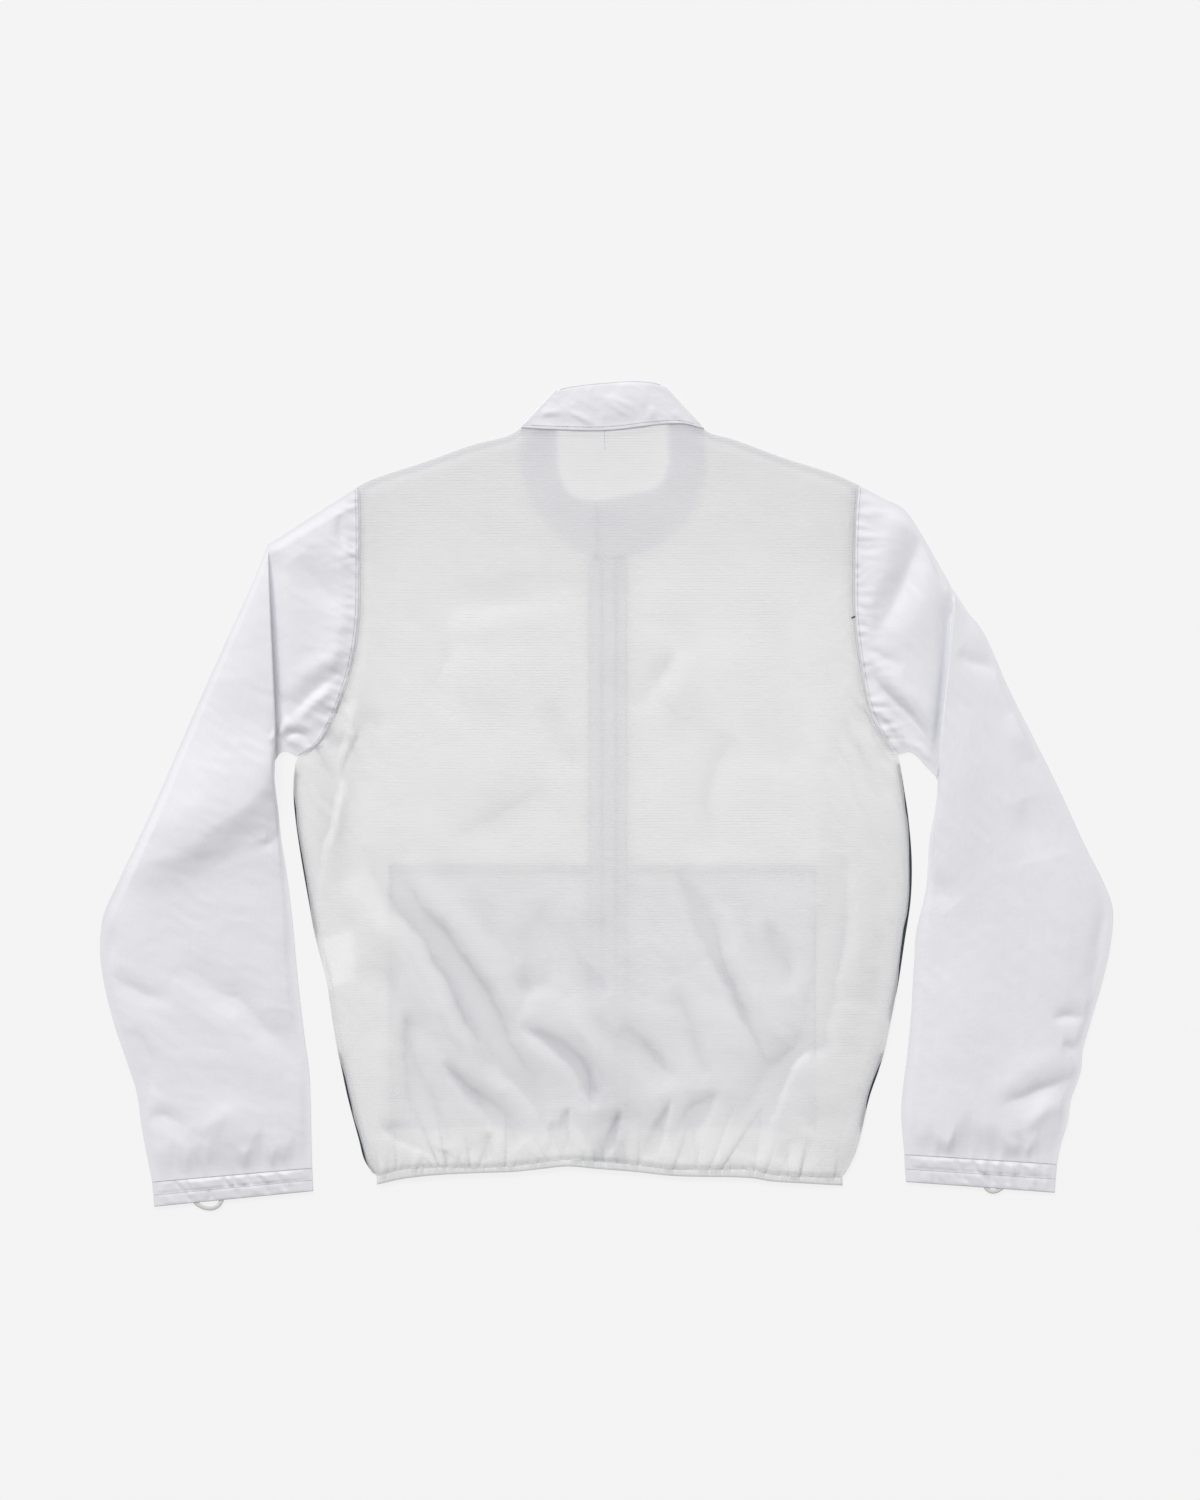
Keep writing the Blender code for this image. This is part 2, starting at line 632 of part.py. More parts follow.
def build_zip():
    """Closed zip in the plane of the fronts, slider at the top, and the facing behind it."""
    flat = lambda x, y: np.full(np.shape(x), CLOTH)
    for side, sign in (("left", -1), ("right", 1)):
        near = ZIP_X + sign * (CHAIN_HALF + SEAM)
        far = ZIP_X + sign * TAPE_HALF
        foot = max(hem_y(near), hem_y(far))
        corners = [(near, foot), (far, foot), (far, ZIP_TOP), (near, ZIP_TOP)]
        panel("zip_tape_" + side, corners, np.zeros((0, 2)), flat, CLOTH, "tape")
    chain_top = ZIP_TOP - SLIDER_LENGTH - SEAM
    left, right = ZIP_X - CHAIN_HALF, ZIP_X + CHAIN_HALF
    foot = float(hem_y(ZIP_X))
    corners = [(left, foot), (right, foot), (right, chain_top), (left, chain_top)]
    panel("zip_chain", corners, np.zeros((0, 2)), flat, CLOTH, "teeth")
    low, high = ZIP_TOP - SLIDER_LENGTH, ZIP_TOP
    corners = [(left + 0.8, low), (right - 0.8, low), (right, low + 3.0), (right, high - 1.5),
               (right - 1.5, high), (left + 1.5, high), (left, high - 1.5), (left, low + 3.0)]
    body = lambda x, y: np.full(np.shape(x), SLIDER_TOP)
    panel("zip_slider", corners, np.zeros((0, 2)), body, SLIDER_TOP, "teeth")


def build_inside():
    """What lies on the fronts inside the jacket: facing, pocket bags and care label."""
    level = lambda x, y: np.full(np.shape(x), LAYER_2 + CLOTH)
    foot = float(seam_y(ZIP_X)) + 2.0
    head = COLLAR_FRONT_LEFT[0][1] - 8.0
    corners = [(FACING_LEFT, foot), (FACING_RIGHT, foot), (FACING_RIGHT, head), (FACING_LEFT, head)]
    panel("zip_facing", corners, np.zeros((0, 2)), level, CLOTH, "lavender")
    for side, near, far in (("left", FACING_LEFT - SEAM, POCKET_OUT_LEFT),
                            ("right", FACING_RIGHT + SEAM, POCKET_OUT_RIGHT)):
        corners = [(near, POCKET_FOOT_Y), (far, POCKET_FOOT_Y),
                   (far, POCKET_MOUTH_Y), (near, POCKET_MOUTH_Y)]
        panel("pocket_bag_" + side, corners, np.zeros((0, 2)), level, CLOTH, "sheer")
    panel("care_label", CARE_LABEL, np.zeros((0, 2)), level, CLOTH, "label")


def build_collar():
    """One stand band, folded flat: its back half on top, its front halves under the back."""
    rows = 5
    share = np.linspace(0.0, 1.0, rows)
    outer, inner = [], []

    def add(seam, top, high, low):
        """One line across the band, with the heights of its outer and inner side."""
        line = np.array(seam) + share[:, None] * (np.array(top) - np.array(seam))
        lift = slider_lift(line[:, 0], line[:, 1])
        outer.append(np.column_stack([line, high + lift]))
        inner.append(np.column_stack([line, low + lift]))

    def add_fold(seam, top, out, order):
        """The band turns over itself around the side of the neck."""
        seam, top = np.array(seam), np.array(top)
        mid = (LAYER_2 + HIGH_EDGE) / 2
        half = (HIGH_EDGE - LAYER_2) / 2
        for angle in order:
            side, rise = np.cos(np.radians(angle)), np.sin(np.radians(angle))
            shift = np.array(out) * half * side
            shift_in = np.array(out) * (half - CLOTH) * side
            for points, move, level in ((outer, shift, mid + half * rise),
                                        (inner, shift_in, mid + (half - CLOTH) * rise)):
                line = seam + move + share[:, None] * (top - seam)
                points.append(np.column_stack([line, np.full(rows, level)]))

    def front(table, overlap):
        line = spline(table, 7.0)
        for row in line[:-1]:
            seam, top = row[0:2], row[2:4]
            out = (seam - top) / np.linalg.norm(seam - top)
            near_fold = smooth((line[-1][1] - seam[1]) / 25.0)
            yield seam + out * overlap * near_fold, top

    bend_left = np.array([-0.733, 0.680])
    bend_right = np.array([0.733, 0.680])
    for seam, top in front(COLLAR_FRONT_LEFT, 5.0):
        add(seam, top, LAYER_2, LAYER_2 + CLOTH)
    add_fold(COLLAR_FRONT_LEFT[-1][0:2], COLLAR_FRONT_LEFT[-1][2:4], bend_left,
             (-90, -45, 0, 45, 90))
    neck = neck_seam()
    head = evenly(spline(COLLAR_TOP, 4.0), len(neck))
    for k in range(1, len(neck) - 1):
        crown = 1.3 * np.sin(np.pi * share)
        add(neck[k], head[k], HIGH_EDGE + crown, HIGH_EDGE - CLOTH + crown)
    add_fold(COLLAR_FRONT_RIGHT[-1][0:2], COLLAR_FRONT_RIGHT[-1][2:4], bend_right,
             (90, 45, 0, -45, -90))
    for seam, top in list(front(COLLAR_FRONT_RIGHT, 5.0))[::-1]:
        add(seam, top, LAYER_2, LAYER_2 + CLOTH)
    shell("collar", np.array(outer), np.array(inner), False, "lavender")


def build_hem():
    """Narrow elastic binding round the hem, from one side of the zip round the back to the other."""
    left, right = HEM[0][0] - 0.5, HEM[-1][0] + 0.5
    radius = LOW_EDGE / 2
    profile = []
    for x in front_hem("left"):
        profile.append((x, 0.0, 0.0, 1.0))
    for angle in (-90, -45, 0, 45):
        c, s = np.cos(np.radians(angle)), np.sin(np.radians(angle))
        profile.append((left + radius * (1 - c), radius * (1 + s), c, -s))
    for x, _ in GATHERS:
        profile.append((x, float(back_height(x, seam_y(x))), 0.0, -1.0))
    for angle in (45, 0, -45, -90):
        c, s = np.cos(np.radians(angle)), np.sin(np.radians(angle))
        profile.append((right - radius * (1 - c), radius * (1 + s), -c, -s))
    for x in front_hem("right")[::-1]:
        profile.append((x, 0.0, 0.0, 1.0))
    outer, inner = [], []
    for x, z, in_x, in_z in profile:
        levels = np.array([seam_y(x), hem_y(x)])
        outer.append([(x, y, z) for y in levels])
        inner.append([(x + CLOTH * in_x, y, z + CLOTH * in_z) for y in levels])
    shell("hem_band", np.array(outer), np.array(inner), False, "elastic")


def tube(name, sections, height, wall, counts, bow, look):
    """A flattened tube, open at both ends. Its underside is flat on the table.

    sections: outer x, y, inner x, y, share of the bow. height(q, x, y, section) is the top.
    """
    tops, floors = counts
    radius = SLEEVE_EDGE / 2
    outer, inner = [], []
    grid = []
    for k, row in enumerate(sections):
        a, b = np.array(row[0:2]), np.array(row[2:4])
        length = np.linalg.norm(b - a)
        q = radius / length + (1 - 2 * radius / length) * np.linspace(0, 1, tops)
        place = lambda s: a + np.outer(s, b - a) + (row[4] * bow(s) if bow is not None else 0)
        plan = place(q)
        z = height(q, plan[:, 0], plan[:, 1], k)
        grid.append(np.column_stack([plan, z]))
    grid = np.array(grid)
    run = np.linalg.norm(np.gradient(grid[:, :, :2], axis=0), axis=2)
    wide = np.linalg.norm(np.gradient(grid[:, :, :2], axis=1), axis=2)
    steep = np.hypot(np.gradient(grid[:, :, 2], axis=0) / run,
                     np.gradient(grid[:, :, 2], axis=1) / wide)
    drop = wall * np.minimum(np.hypot(1.0, steep), 1.5)
    for k, row in enumerate(sections):
        a, b = np.array(row[0:2]), np.array(row[2:4])
        length = np.linalg.norm(b - a)
        place = lambda s: a + np.outer(s, b - a) + (row[4] * bow(s) if bow is not None else 0)
        top = grid[k]
        under = top - [0, 0, 1] * drop[k][:, None]
        q = radius / length + (1 - 2 * radius / length) * np.linspace(0, 1, floors)
        floor = place(q)[::-1]
        ring_out = [tuple(p) for p in top]
        ring_in = [tuple(p) for p in under]
        for edge, inward, order in ((1.0, -1, (45, 0, -45)), (0.0, 1, (-45, 0, 45))):
            high = top[-1][2] if edge else top[0][2]
            for angle in order:
                c, s = np.cos(np.radians(angle)), np.sin(np.radians(angle))
                for size, ring in ((radius, ring_out), (radius - wall, ring_in)):
                    inset = (radius - size * c) / length
                    spot = place(np.array([edge + inward * inset]))[0]
                    z = radius + size * s + max(s, 0.0) * (high - SLEEVE_EDGE)
                    ring.append((spot[0], spot[1], z))
            if edge:
                ring_out += [(p[0], p[1], 0.0) for p in floor]
                ring_in += [(p[0], p[1], wall) for p in floor]
        outer.append(ring_out)
        inner.append(ring_in)
    return shell(name, np.array(outer), np.array(inner), True, look)


def between(table, first, last, step):
    """Sections from one row to another of a sleeve table, a few to each row."""
    rows = np.array(table[first:last], float)
    return spline(rows, step)


def build_sleeves():
    """Each sleeve is a flattened tube. At the tuck the lower part lies higher than the upper."""
    for side, table, folds in (("left", SLEEVE_LEFT, SLEEVE_LEFT_FOLDS),
                               ("right", SLEEVE_RIGHT, SLEEVE_RIGHT_FOLDS)):
        tuck = SECTIONS_ABOVE_TUCK[side]
        upper = between(table, 0, tuck, 15.0)
        lower = between(table, tuck, len(table), 26.0)
        sections = np.vstack([upper, lower])
        line = spline(ARMHOLE, 6.0)
        curve = evenly(line[:, 0:2] if side == "left" else line[:, 2:4], 60)
        chord = curve[0] + np.linspace(0, 1, 60)[:, None] * (curve[-1] - curve[0])
        swing = curve - chord
        bow = lambda s: np.column_stack([np.interp(s, np.linspace(0, 1, 60), swing[:, k])
                                         for k in (0, 1)])
        first = sections[len(upper)]

        def height(q, x, y, k, folds=folds, above=len(upper), first=first):
            round_off = 1 - np.abs(2 * q - 1) ** 3
            lift = SLEEVE_ARCH * round_off + folds_at(x, y, folds) * smooth(round_off * 3)
            if k >= above:
                fx = first[0] + q * (first[2] - first[0])
                fy = first[1] + q * (first[3] - first[1])
                away = np.hypot(x - fx, y - fy)
                lift = lift + TUCK_RISE * (0.35 + 0.65 * q) * np.exp(-away / TUCK_REACH)
            edge = smooth(np.minimum(q, 1 - q) * 14)
            return SLEEVE_EDGE + upward(lift) * edge

        tube("sleeve_" + side, sections, height, CLOTH, (13, 4), bow, "lavender")


def build_cuffs():
    """Elasticated casings, softly gathered, and the flat elastic loops that hang from them."""
    for side, table in (("left", CUFF_LEFT), ("right", CUFF_RIGHT)):
        rows = [(*row, 0.0) for row in table]

        def height(q, x, y, k):
            round_off = 1 - np.abs(2 * q - 1) ** 4
            crimp = 0.5 + 0.5 * np.cos(2 * np.pi * 12 * (q + 0.03 * k))
            return SLEEVE_EDGE + 2.0 * round_off + 0.9 * crimp * smooth(round_off * 2)

        tube("cuff_" + side, np.array(rows), height, CUFF_WALL, (25, 4), None, "lavender")
    for side, table in (("left", LOOP_LEFT), ("right", LOOP_RIGHT)):
        line = spline(table, 2.5)
        along = np.gradient(line, axis=0)
        across = np.column_stack([-along[:, 1], along[:, 0]])
        across /= np.linalg.norm(across, axis=1)[:, None]
        outline = np.vstack([line + across * LOOP_WIDTH / 2, (line - across * LOOP_WIDTH / 2)[::-1]])
        top = lambda x, y: np.full(np.shape(x), CUFF_WALL + SEAM + LOOP_WALL)
        panel("cuff_loop_" + side, outline, np.zeros((0, 2)), top, LOOP_WALL, "elastic")


for old in list(bpy.data.objects):
    bpy.data.objects.remove(old, do_unlink=True)
build_back()
build_fronts()
build_trims()
build_zip()
build_inside()
build_collar()
build_hem()
build_sleeves()
build_cuffs()
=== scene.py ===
"""A light zipped jacket laid flat on a table, face down, so that its back is up.

Tables are in millimetres, as they were measured: x across from the centre back, y up the back
from the lowest corner of the hem, z up from the table. Meshes are in metres.
"""
import math

import bpy
import numpy as np
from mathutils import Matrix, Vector
from mathutils.geometry import delaunay_2d_cdt


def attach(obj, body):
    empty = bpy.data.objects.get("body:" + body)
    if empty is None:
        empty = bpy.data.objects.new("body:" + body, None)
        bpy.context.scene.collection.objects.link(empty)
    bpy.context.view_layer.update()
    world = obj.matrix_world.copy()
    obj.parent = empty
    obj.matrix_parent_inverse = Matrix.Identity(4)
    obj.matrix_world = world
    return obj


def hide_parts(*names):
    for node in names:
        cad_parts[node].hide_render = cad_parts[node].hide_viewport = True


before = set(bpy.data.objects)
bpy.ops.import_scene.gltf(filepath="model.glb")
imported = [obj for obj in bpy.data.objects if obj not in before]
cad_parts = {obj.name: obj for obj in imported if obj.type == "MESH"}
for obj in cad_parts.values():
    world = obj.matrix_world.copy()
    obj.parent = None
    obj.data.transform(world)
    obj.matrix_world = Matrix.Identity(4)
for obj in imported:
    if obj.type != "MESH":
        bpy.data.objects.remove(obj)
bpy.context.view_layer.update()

# ------------------------------------------------------------------------------------------------
# Fronts. Two panels of semi-sheer ripstop, cut from one cloth with the back, each sewn to a zip
# tape, a side trim, a shoulder seam and the collar. They lie face down on the table.

# Sides of the body: level y, left edge, trim that shows there, right edge, trim that shows there.
BODY_SIDES = (
    (9.5, -214, 1.9, 222, 0),
    (25, -224, 3.3, 230.5, 0),
    (43.5, -229, 3.3, 237, 0),
    (81, -239, 3.3, 245.5, 2.8),
    (109, -245, 2.8, 255, 3.3),
    (132, -250, 0, 261.5, 0),
    (169.5, -256, 0, 269, 1.4),
    (192.5, -259.5, 0, 273.5, 3.3),
    (229.5, -269, 0.5, 279, 3.7),
    (267, -276, 3.3, 284.5, 4.2),
    (304, -282.5, 3.3, 285.5, 4.2),
    (341.5, -288, 3.3, 282.5, 3.3),
    (369, -290, 2.3, 278.5, 2.8),
    (393.5, -288.5, 0, 274.5, 0.9),
)
# Armhole seams from shoulder to underarm: left x, left y, right x, right y.
ARMHOLE = (
    (-230.5, 651, 236, 653),
    (-229.5, 620.5, 233.5, 620.5),
    (-229.5, 574, 232.5, 574),
    (-230.5, 527.5, 233.5, 527.5),
    (-237, 485.5, 239, 485.5),
    (-251, 443.5, 248, 443.5),
    (-267, 414, 263, 415.5),
    (-286.5, 400, 273.5, 402),
)
# Shoulder seams from neck to armhole: left x, left y, right x, right y.
SHOULDER = (
    (-78, 706, 92, 705),
    (-90, 698.5, 99.5, 700.5),
    (-123.5, 690, 122, 694.5),
    (-168.5, 674, 166.5, 678),
    (-213, 659.5, 211, 664),
    (-230.5, 651, 236, 653),
)
# Front halves of the collar from the centre front to the side fold: seam x, y, top x, y.
COLLAR_FRONT_LEFT = (
    (-7.5, 591.5, -7.5, 638),
    (-28, 598, -27, 641.5),
    (-50, 617.5, -39, 654),
    (-64, 639, -43.5, 671.5),
    (-72.5, 662, -44.5, 694.5),
    (-76.5, 685.5, -45.5, 718),
    (-78, 706, -45.5, 741),
)
COLLAR_FRONT_RIGHT = (
    (-6.5, 590.5, -6.5, 639),
    (16, 591.5, 14, 642.5),
    (43.5, 599, 38, 647.5),
    (68, 618.5, 52, 654),
    (82, 639, 58.5, 671.5),
    (88.5, 662, 58.5, 694.5),
    (91, 683.5, 56.5, 721),
    (92, 705, 55, 745),
)
# Hem, left to right: x, level of the binding's seam, level of its lower edge.
HEM = (
    (-212, 9.5, 2),
    (-187, 16, 7.5),
    (-156, 17.5, 11),
    (-114.5, 17.5, 13),
    (-84.5, 19.5, 14),
    (-56, 23, 17),
    (-34.5, 25, 19),
    (-4.5, 23, 16.5),
    (27, 20.5, 14),
    (67, 16, 10),
    (130, 16, 8.5),
    (155.5, 11, 5),
    (188, 9, 3),
    (220.5, 8.5, 1),
)
HEM_LEFT, HEM_RIGHT = HEM[0][0], HEM[-1][0]
UNDERARM_Y = BODY_SIDES[-1][0]
FOOTPRINT_CENTRE = (1.2, 363.5)
SEAM = 0.3
TRIM_WIDTH = 3.6
TRIM_FOOT = 12.5
ZIP_X = 3.7
ZIP_TOP = 637.0
TAPE_HALF = 16.0
FRONT_HEM_END = {"left": -205.0, "right": 213.5}      # where each front's hem meets its side
FRONT_Z = 0.5
RIPSTOP_PITCH = 0.0026
RIPSTOP_GLOW = 0.42      # share of the light that it lets through softly
ALLOWANCE = 6.5          # seam allowance that shows through beside each seam


def metres(points):
    """Table millimetres to the frame's metres."""
    points = np.asarray(points, float)
    return (points - (*FOOTPRINT_CENTRE, 0.0)) * 0.001


def spline(points, step):
    """A smooth line through the rows of a table, with a point about every step."""
    rows = np.array(points, float)
    ends = np.vstack([2 * rows[0] - rows[1], rows, 2 * rows[-1] - rows[-2]])
    line = []
    for a, b, c, d in zip(ends, ends[1:], ends[2:], ends[3:]):
        count = max(1, int(round(np.linalg.norm((c - b)[:2]) / step)))
        for k in range(count):
            t = k / count
            line.append(0.5 * (2 * b + (c - a) * t + (2 * a - 5 * b + 4 * c - d) * t * t
                               + (3 * b - a - 3 * c + d) * t ** 3))
    line.append(rows[-1])
    return np.array(line)


def evenly(line, count):
    """Points at even distances along a line."""
    steps = np.linalg.norm(np.diff(line[:, :2], axis=0), axis=1)
    run = np.concatenate([[0.0], np.cumsum(steps)])
    at = np.linspace(0.0, run[-1], count)
    return np.column_stack([np.interp(at, run, line[:, k]) for k in range(line.shape[1])])


def smooth(value):
    """0 below 0, 1 above 1, and an even slope between."""
    t = np.clip(value, 0.0, 1.0)
    return t * t * (3 - 2 * t)


def nearest(x, y, line):
    """For each point: distance to a line, how far along it that is, and the side, +1 on the
    left."""
    x, y = np.asarray(x, float), np.asarray(y, float)
    best, share, side = np.full(x.shape, 1e9), np.zeros(x.shape), np.ones(x.shape)
    lengths = np.linalg.norm(np.diff(line, axis=0), axis=1)
    run = 0.0
    for a, b, length in zip(line, line[1:], lengths):
        t = np.clip(((x - a[0]) * (b[0] - a[0]) + (y - a[1]) * (b[1] - a[1])) / length ** 2, 0, 1)
        gap = np.hypot(x - a[0] - t * (b[0] - a[0]), y - a[1] - t * (b[1] - a[1]))
        turn = (b[0] - a[0]) * (y - a[1]) - (b[1] - a[1]) * (x - a[0])
        closer = gap < best
        best = np.where(closer, gap, best)
        share = np.where(closer, (run + t * length) / lengths.sum(), share)
        side = np.where(closer, np.sign(turn), side)
        run += length
    return best, share, side


def cut_mesh(name, points, faces, finish, laid, seam_gap, painted_light=0.0):
    """One piece of cloth: points in table millimetres, its place in the flat cut as UV, how far
    each point is from the piece's seams, and a mark from 0 to 1 for painted light. On ripstop the
    mark paints the cloth darker and denser: painted shade in its creases, and a painted darker
    tone in a few broad places. On nylon it says how far the cloth lies under the back, where it
    is painted paler and given a faint glow."""
    mesh = bpy.data.meshes.new(name)
    mesh.from_pydata([tuple(p) for p in metres(points)], [], faces)
    corner = np.empty(len(mesh.loops), int)
    mesh.loops.foreach_get("vertex_index", corner)
    uv = mesh.uv_layers.new(name="Cut")
    uv.data.foreach_set("uv", (np.asarray(laid)[corner] * 0.001).ravel())
    for label, values in (("seam_gap", seam_gap), ("painted_light", painted_light)):
        kept = mesh.attributes.new(label, "FLOAT", "POINT")
        kept.data.foreach_set("value", np.asarray(values, float) * np.ones(len(points)))
    mesh.polygons.foreach_set("use_smooth", np.ones(len(mesh.polygons), bool))
    mesh.materials.append(finish)
    piece = bpy.data.objects.new(name, mesh)
    bpy.context.scene.collection.objects.link(piece)
    return piece


def flat_piece(name, outline, level, spacing, finish, face_down=False, painted_light=0.0):
    """A piece that lies flat at one level, cut to an outline."""
    outline = np.asarray(outline, float)[:, :2]
    low, high = outline.min(0), outline.max(0)
    marks = [(x, y) for x in np.arange(low[0] + spacing / 2, high[0], spacing)
             for y in np.arange(low[1] + spacing / 2, high[1], spacing)]
    marks = np.array(marks)
    loop = np.vstack([outline, outline[:1]])
    inside = np.zeros(len(marks), bool)
    for (ax, ay), (bx, by) in zip(loop, loop[1:]):
        over = (ay > marks[:, 1]) != (by > marks[:, 1])
        at = ax + (marks[:, 1] - ay) / (by - ay if by != ay else 1e-9) * (bx - ax)
        inside ^= over & (marks[:, 0] < at)
    marks = marks[inside & (nearest(marks[:, 0], marks[:, 1], loop)[0] > spacing * 0.3)]
    edge = [Vector(p) for p in outline]
    flat = delaunay_2d_cdt(edge + [Vector(p) for p in marks], [], [list(range(len(edge)))], 1, 0.01)
    xy = np.array([(v.x, v.y) for v in flat[0]])
    faces = [face[::-1] if face_down else face for face in flat[2]]
    points = np.column_stack([xy, np.full(len(xy), level)])
    return cut_mesh(name, points, faces, finish, xy, nearest(xy[:, 0], xy[:, 1], loop)[0], painted_light)


def stand_for(piece, node):
    """Puts a piece on the one body in place of its solid, and hides that solid."""
    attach(piece, "root")
    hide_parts(node)


class Finish:
    """A value in a cloth's finish. Sums on it are added to the finish as Math nodes."""

    def __init__(self, socket):
        self.socket = socket

    def add(self, kind, settings=None, sockets=None, out=0):
        """Adds a node: first its settings, then the values or links of its sockets."""
        tree = self.socket.id_data
        made = tree.nodes.new("ShaderNode" + kind)
        for name, value in (settings or {}).items():
            setattr(made, name, value)
        for name, value in (sockets or {}).items():
            if isinstance(value, Finish):
                tree.links.new(value.socket, made.inputs[name])
            else:
                made.inputs[name].default_value = value
        return Finish(made.outputs[out])

    def sum(self, operation, a, b=0.0, clamp=False):
        return self.add("Math", {"operation": operation, "use_clamp": clamp}, {0: a, 1: b})

    def __add__(self, other):
        return self.sum("ADD", self, other)

    def __sub__(self, other):
        return self.sum("SUBTRACT", self, other)

    def __rsub__(self, other):
        return self.sum("SUBTRACT", other, self)

    def __mul__(self, other):
        return self.sum("MULTIPLY", self, other)

    def __pow__(self, other):
        return self.sum("POWER", self, other)

    __radd__, __rmul__ = __add__, __mul__

    def within(self):
        """Kept between 0 and 1."""
        return self.sum("ADD", self, 0.0, clamp=True)

    def axis(self, index):
        return self.add("SeparateXYZ", None, {0: self}, index)

    def noise(self, scale, detail=2.0, roughness=0.5):
        """Random patches about 1 / scale metres wide, from 0 to 1."""
        return self.add("TexNoise", None, {"Vector": self, "Scale": scale, "Detail": detail,
                                           "Roughness": roughness})

    def stretched(self, x, y, z):
        return self.add("Mapping", None, {"Vector": self, "Scale": (x, y, z)})

    def blend(self, a, b):
        """Colour a where this is 0, colour b where it is 1."""
        return self.add("Mix", {"data_type": "RGBA"}, {0: self, 6: a, 7: b}, 2)


def new_finish(name, place):
    """An empty material, its place on the cloth (Object or UV), and a way to close it."""
    material = bpy.data.materials.new(name)
    material.use_nodes = True
    tree = material.node_tree
    tree.nodes.clear()
    result = tree.nodes.new("ShaderNodeOutputMaterial")
    spot = tree.nodes.new("ShaderNodeTexCoord")

    def close(surface):
        tree.links.new(surface.socket, result.inputs["Surface"])
        return material

    return Finish(spot.outputs[place]), close


def screen(red, green, blue):
    """A colour as read off a screen, 0 to 255."""
    return (*((value / 255) ** 2.2 for value in (red, green, blue)), 1.0)


def ripstop(name, thread, line_and_shade_thread, cover):
    """Semi-sheer ripstop: a fine square grid of thicker threads, the level ones stronger.
    cover is the share of a look that the cloth stops. Seam allowances, where the cloth is
    doubled, are denser and darker. The mark for painted light makes it denser and darker still,
    towards its second colour: painted shade in creases, partly standing for cloth doubled there."""
    place, close = new_finish(name, "Object")
    x, y = place.axis(0), place.axis(1)
    turns = 2 * math.pi / RIPSTOP_PITCH
    weft = (place.sum("COSINE", y * turns) * 0.5 + 0.5) ** 3.5
    warp = (place.sum("COSINE", x * turns) * 0.5 + 0.5) ** 5.0
    slub = place.stretched(0.2, 1.0, 1.0).noise(240.0, 2.0)
    patch = place.noise(24.0, 3.0)
    lines = (weft * (slub * 1.3 + 0.3) + warp * 0.32) * (patch * 1.3 + 0.3)
    gap = place.add("Attribute", {"attribute_name": "seam_gap"}, None, 2)
    painted_light = place.add("Attribute", {"attribute_name": "painted_light"}, None, 2)
    allowance = place.sum("MULTIPLY", ALLOWANCE - gap, 1.6, clamp=True)
    fringe = place.sum("MULTIPLY", gap, 0.25, clamp=True) * 0.2 + 0.8
    # Painted shade: the painted-light mark raises the cover and darkens the tone.
    thick = ((lines * 0.1 + allowance * 0.08 + painted_light * 0.1 + cover) * fringe).within()
    tone = (lines * 0.36 + place.noise(90.0, 3.0) * 0.1 + allowance * 0.2 + painted_light).within()
    colour = tone.blend(screen(*thread), screen(*line_and_shade_thread))
    normal = place.add("Bump", None, {"Strength": 0.3, "Distance": 0.0004, "Height":
                                      lines * 0.6 + place.noise(140.0, 4.0, 0.6) * 1.2})
    face = place.add("BsdfPrincipled", None, {
        "Base Color": colour, "Roughness": patch * 0.12 + 0.46, "Normal": normal,
        "Specular IOR Level": 0.4})
    through = place.add("BsdfTranslucent", None, {"Color": screen(*thread), "Normal": normal})
    cloth = place.add("MixShader", None, {0: RIPSTOP_GLOW, 1: face, 2: through})
    clear = place.add("BsdfTransparent")
    return close(place.add("MixShader", None, {0: thick, 1: clear, 2: cloth}))


FRONT_SHEER = ripstop("ripstop_front", (252, 252, 252), (232, 232, 235), 0.74)


def front_outline(side, sign, neckline):
    """Round a front from the zip's foot: hem, side, armhole, shoulder, neck and zip edge."""
    zip_edge = ZIP_X + sign * (TAPE_HALF + SEAM)
    ys = np.linspace(TRIM_FOOT, UNDERARM_Y, 60)
    edge = np.column_stack([trim_side(ys, side) - sign * (TRIM_WIDTH + SEAM), ys])
    xs = np.linspace(zip_edge, FRONT_HEM_END[side], 50)
    hem = np.column_stack([xs, seam_y(xs) + SEAM])
    neck = spline(neckline, 6.0)[:, 0:2][::-1]
    neck = neck[(neck[:, 0] - zip_edge) * sign > 3.0]
    top = np.interp(zip_edge, *np.array(sorted(map(tuple, neck))).T)
    return np.vstack([hem, edge, armhole(side, 40)[::-1][1:-1], shoulder(side, 12.0)[::-1],
                      neck[1:], [(zip_edge, top - 1.0)]])


SIDES = spline(BODY_SIDES, 3.0)
HEM_LINE = spline(HEM, 2.0)


def side_at(y, column):
    return np.interp(y, SIDES[:, 0], SIDES[:, column])


def trim_side(y, side):
    """Outer edge of a side trim, drawn in by up to 1 mm where the back covers it."""
    if side == "left":
        return side_at(y, 1) + np.clip(1 - side_at(y, 2), 0, 1)
    return side_at(y, 3) - np.clip(1 - side_at(y, 4), 0, 1)


def seam_y(x):
    return np.interp(x, HEM_LINE[:, 0], HEM_LINE[:, 1])


def hem_y(x):
    return np.interp(x, HEM_LINE[:, 0], HEM_LINE[:, 2])


def armhole(side, count):
    line = spline(ARMHOLE, 3.0)
    return evenly(line[:, 0:2] if side == "left" else line[:, 2:4], count)


def shoulder(side, step):
    line = spline(SHOULDER, step)
    return line[:, 0:2] if side == "left" else line[:, 2:4]


for side, sign, neckline in (("left", -1, COLLAR_FRONT_LEFT), ("right", 1, COLLAR_FRONT_RIGHT)):
    front = flat_piece("front_panel_" + side, front_outline(side, sign, neckline), FRONT_Z, 9.0,
                       FRONT_SHEER, face_down=True)
    stand_for(front, "front_" + side)

# ------------------------------------------------------------------------------------------------
# Side trims. A dark flat tape is caught in each side seam and peeps out beyond the back.

